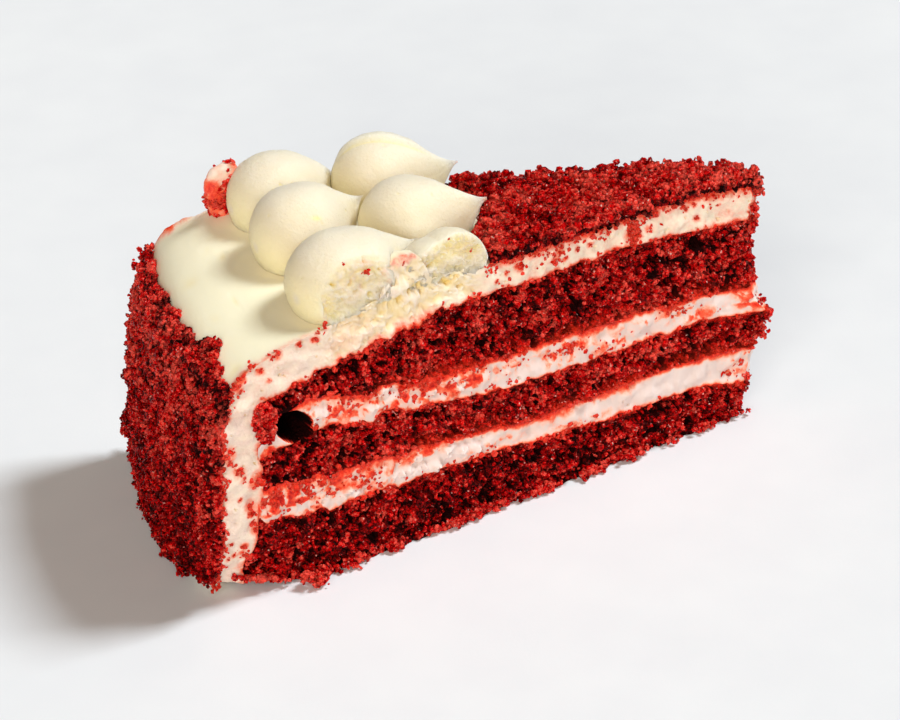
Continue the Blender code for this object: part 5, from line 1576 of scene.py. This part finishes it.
def torn_sprigs():
    """Lumps of torn crumb beside the hole, along the foot of the cuts and on the tip, as heaps of balls."""
    random = np.random.default_rng(SEED + 240)
    lumps = []
    for radius, angle, height, size, count in LUMPS:
        middle = radial(radius, angle, height)
        lumps.append(middle + random.normal(0.0, size * LUMP_SPREAD, (count, 3)))
    turn = random.uniform(0.0, math.tau, 320)
    away = np.sqrt(random.uniform(0.0, 1.0, 320))
    r = 132.2 + 2.6 * away * np.cos(turn) + 0.25 * away * np.sin(turn)
    z = 40.2 + 4.6 * away * np.sin(turn)
    open_part = (hole_share(r, z) < -0.1) & (r < 135.0)
    lumps.append(on_near(r[open_part], z[open_part], random.uniform(-0.6, 0.7, int(open_part.sum()))))
    for side in (NEAR, FAR):
        r = random.uniform(14.0, 141.0, 420)
        clumping = soft_noise(np.stack((r, r * 0.0), -1), 6.0, 850 + int(side), 2)
        r = r[clumping > -0.15]
        clusters = random.uniform(16.0, 138.0, 30)
        r = np.concatenate((r, (clusters[:, None] + random.normal(0.0, 0.9, (30, 16))).ravel()))
        z = random.uniform(0.3, 1.9, len(r)) + base_height(r, side * HALF_ANGLE)
        depth = corner_pull(r, z) if side == NEAR else 0.0
        out = random.normal(-0.1, 0.55, len(r)) - depth
        out[-480:] += np.repeat(random.uniform(0.0, 0.9, 30), 16)
        lumps.append(radial(r, side * HALF_ANGLE, z) - out[:, None] * inward(side))
    lumps = np.vstack(lumps)
    lumps[:, 2] = np.maximum(lumps[:, 2], 0.35)
    grain_piece("torn_sprigs", lumps, random.uniform(0.28, 0.62, len(lumps)),
                crumb_material("torn sprigs", 0.42, 0.5, 0.6), random)


def camera():
    """The camera at the slice's front left, a little above, looking down at its near cut."""
    azimuth, elevation, roll = (math.radians(turn) for turn in VIEW_ANGLES)
    back = Vector((math.sin(azimuth) * math.cos(elevation), -math.cos(azimuth) * math.cos(elevation),
                   math.sin(elevation)))
    right = Vector((math.cos(azimuth), math.sin(azimuth), 0.0))
    up = back.cross(right).normalized()
    across_view = math.cos(roll) * right + math.sin(roll) * up
    up_view = -math.sin(roll) * right + math.cos(roll) * up
    place = Vector(VIEW_TARGET) + back * VIEW_DISTANCE
    lens = bpy.data.cameras.new("camera")
    lens.lens = VIEW_LENS
    lens.sensor_width = 36.0
    lens.clip_start = 0.05
    lens.clip_end = 20.0
    thing = bpy.data.objects.new("camera", lens)
    bpy.context.scene.collection.objects.link(thing)
    thing.matrix_world = Matrix(((across_view.x, up_view.x, back.x, place.x),
                                 (across_view.y, up_view.y, back.y, place.y),
                                 (across_view.z, up_view.z, back.z, place.z), (0.0, 0.0, 0.0, 1.0)))
    bpy.context.scene.camera = thing


def soft_light(name, azimuth, elevation, distance, size, energy, colour):
    """A square soft light that looks at the slice from a direction: azimuth 0 is +X and 90 is +Y."""
    turn, rise = math.radians(azimuth), math.radians(elevation)
    away = Vector((math.cos(rise) * math.cos(turn), math.cos(rise) * math.sin(turn), math.sin(rise)))
    light = bpy.data.lights.new(name, "AREA")
    light.size = size
    light.energy = energy
    light.color = colour
    thing = bpy.data.objects.new(name, light)
    bpy.context.scene.collection.objects.link(thing)
    thing.location = Vector((0.0, 0.0, LIGHT_HEIGHT)) + away * distance
    thing.rotation_euler = away.to_track_quat("Z", "Y").to_euler()


def stage_set(colours):
    """A plain pale floor, soft studio light and the camera."""
    grid = np.linspace(-FLOOR_REACH, FLOOR_REACH, 13)
    x, y = np.meshgrid(grid, grid, indexing="ij")
    points = np.stack((x, y, np.full(x.shape, -FLOOR_DROP)), -1).reshape(-1, 3)
    index = np.arange(x.size).reshape(x.shape)
    quads = np.stack((index[:-1, :-1], index[1:, :-1], index[1:, 1:], index[:-1, 1:]), -1).reshape(-1, 4)
    mesh = bpy.data.meshes.new("floor")
    mesh.from_pydata(points.tolist(), [], quads.tolist())
    material, tree, shader = tree_of("pale floor")
    colour = ramp(tree, grainy(tree, 40.0, 2.0), FLOOR_COLOURS)
    finish_shader(tree, shader, colour, 0.6, Specular_IOR_Level=0.2)
    bumped(tree, shader, grainy(tree, 1500.0, 2.0), 0.00002)
    mesh.materials.append(material)
    floor = bpy.data.objects.new("floor", mesh)
    bpy.context.scene.collection.objects.link(floor)
    world = bpy.context.scene.world or bpy.data.worlds.new("pale room")
    bpy.context.scene.world = world
    world.use_nodes = True
    sky = world.node_tree.nodes.get("Background") or world.node_tree.nodes.new("ShaderNodeBackground")
    sky.inputs["Color"].default_value = ROOM_COLOUR
    sky.inputs["Strength"].default_value = colours.room_light
    soft_light("key light", *KEY_LIGHT, colours.key_light, KEY_COLOUR)
    soft_light("front light", *FRONT_LIGHT, colours.front_light, FRONT_COLOUR)
    bpy.context.scene.view_settings.view_transform = "Standard"
    camera()


class SliceSizes(bpy.types.PropertyGroup):
    """How finely the slice is cut up and how many crumbs lie on it."""

    cut_cells: bpy.props.IntProperty(
        name="Cells along a cut", description="Columns of small faces along each cut face of a layer",
        default=430, min=40, max=600)
    sponge_rows: bpy.props.IntProperty(
        name="Rows up a sponge", description="Rows of small faces up each sponge layer",
        default=58, min=8, max=90)
    icing_cells: bpy.props.IntProperty(
        name="Cells along the icing", description="Columns of small faces from the icing's foot to the tip",
        default=500, min=60, max=700)
    sponge_grains: bpy.props.IntProperty(
        name="Grains on a sponge", description="Loose grains on the cut faces of each sponge layer",
        default=3200, min=0, max=9000)
    rim_grains: bpy.props.IntProperty(
        name="Grains on the rim", description="Single grains on the rim's crumb coat", default=4200, min=0,
        max=9000)
    rim_clumps: bpy.props.IntProperty(
        name="Clumps on the rim", description="Clumps of grains on the rim's crumb coat", default=420, min=0,
        max=900)
    bed_grains: bpy.props.IntProperty(
        name="Grains on top", description="Single grains on the crumb bed", default=2400, min=0, max=9000)
    bed_clumps: bpy.props.IntProperty(
        name="Clumps on top", description="Clumps of grains on the crumb bed", default=540, min=0, max=900)


class SliceColours(bpy.types.PropertyGroup):
    """Colours of the creams and strengths of the lights."""

    filling_colour: bpy.props.FloatVectorProperty(
        name="Filling", description="Colour of the cream fillings", subtype="COLOR", size=3, min=0.0, max=1.0,
        default=(0.81, 0.67, 0.625))
    icing_colour: bpy.props.FloatVectorProperty(
        name="Icing", description="Colour of the icing", subtype="COLOR", size=3, min=0.0, max=1.0,
        default=(0.99, 0.89, 0.66))
    kiss_colour: bpy.props.FloatVectorProperty(
        name="Kisses", description="Colour of the piped kisses", subtype="COLOR", size=3, min=0.0, max=1.0,
        default=(0.845, 0.75, 0.62))
    key_light: bpy.props.FloatProperty(
        name="Key light", description="Power of the light from the tip's side", default=1900.0, min=0.0,
        subtype="POWER")
    front_light: bpy.props.FloatProperty(
        name="Front light", description="Power of the light from the front", default=1090.0, min=0.0,
        subtype="POWER")
    room_light: bpy.props.FloatProperty(
        name="Room light", description="Strength of the light from all round", default=0.155, min=0.0)


class CAKE_OT_sponge(bpy.types.Operator):
    """Builds the three sponge layers and their loose grains."""

    bl_idname = "cake.sponge"
    bl_label = "Sponge layers"

    def execute(self, context):
        sponge_layers(context.scene.slice_sizes)
        return {"FINISHED"}


class CAKE_OT_fillings(bpy.types.Operator):
    """Builds the two cream fillings."""

    bl_idname = "cake.fillings"
    bl_label = "Cream fillings"

    def execute(self, context):
        fillings(context.scene.slice_sizes, context.scene.slice_colours)
        return {"FINISHED"}


class CAKE_OT_icing(bpy.types.Operator):
    """Builds the icing over the top and down the rim."""

    bl_idname = "cake.icing"
    bl_label = "Icing"

    def execute(self, context):
        icing_shell(context.scene.slice_sizes, context.scene.slice_colours)
        return {"FINISHED"}


class CAKE_OT_rim_crumbs(bpy.types.Operator):
    """Builds the crumb coat on the rim."""

    bl_idname = "cake.rim_crumbs"
    bl_label = "Rim crumbs"

    def execute(self, context):
        rim_coat(context.scene.slice_sizes)
        return {"FINISHED"}


class CAKE_OT_top_crumbs(bpy.types.Operator):
    """Builds the crumb bed on top."""

    bl_idname = "cake.top_crumbs"
    bl_label = "Top crumbs"

    def execute(self, context):
        top_bed(context.scene.slice_sizes)
        return {"FINISHED"}


class CAKE_OT_kisses(bpy.types.Operator):
    """Builds the six piped kisses."""

    bl_idname = "cake.kisses"
    bl_label = "Piped kisses"

    def execute(self, context):
        kisses(context.scene.slice_colours)
        return {"FINISHED"}


class CAKE_OT_edge_flake(bpy.types.Operator):
    """Builds the flake on the far edge."""

    bl_idname = "cake.edge_flake"
    bl_label = "Edge flake"

    def execute(self, context):
        edge_flake()
        return {"FINISHED"}


class CAKE_OT_loose_crumbs(bpy.types.Operator):
    """Scatters the single crumbs."""

    bl_idname = "cake.loose_crumbs"
    bl_label = "Loose crumbs"

    def execute(self, context):
        loose_crumbs()
        return {"FINISHED"}


class CAKE_OT_torn_sprigs(bpy.types.Operator):
    """Builds the lumps of torn crumb."""

    bl_idname = "cake.torn_sprigs"
    bl_label = "Torn lumps"

    def execute(self, context):
        torn_sprigs()
        return {"FINISHED"}


class CAKE_OT_stage(bpy.types.Operator):
    """Sets the floor, the lights and the camera."""

    bl_idname = "cake.stage"
    bl_label = "Stage"

    def execute(self, context):
        stage_set(context.scene.slice_colours)
        return {"FINISHED"}


OPERATORS = (CAKE_OT_sponge, CAKE_OT_fillings, CAKE_OT_icing, CAKE_OT_rim_crumbs, CAKE_OT_top_crumbs,
             CAKE_OT_kisses, CAKE_OT_edge_flake, CAKE_OT_loose_crumbs, CAKE_OT_torn_sprigs,
             CAKE_OT_stage)


class CAKE_PT_slice(bpy.types.Panel):
    """Lists the slice's pieces, sizes and colours."""

    bl_label = "Cake slice"
    bl_idname = "CAKE_PT_slice"
    bl_space_type = "VIEW_3D"
    bl_region_type = "UI"
    bl_category = "Cake slice"

    def draw(self, context):
        for group in (context.scene.slice_sizes, context.scene.slice_colours):
            box = self.layout.box()
            for name in group.__annotations__:
                box.prop(group, name)
        for operator in OPERATORS:
            self.layout.operator(operator.bl_idname)


CLASSES = (SliceSizes, SliceColours, *OPERATORS, CAKE_PT_slice)


def register():
    """Registers the classes and adds their settings to the scene."""
    for item in CLASSES:
        bpy.utils.register_class(item)
    bpy.types.Scene.slice_sizes = bpy.props.PointerProperty(type=SliceSizes)
    bpy.types.Scene.slice_colours = bpy.props.PointerProperty(type=SliceColours)


def unregister():
    """Removes the settings and the classes."""
    del bpy.types.Scene.slice_colours
    del bpy.types.Scene.slice_sizes
    for item in reversed(CLASSES):
        bpy.utils.unregister_class(item)


def main():
    """Builds every piece and the stage."""
    register()
    for operator in OPERATORS:
        group, name = operator.bl_idname.split(".")
        getattr(getattr(bpy.ops, group), name)()


if __name__ == "__main__":
    main()
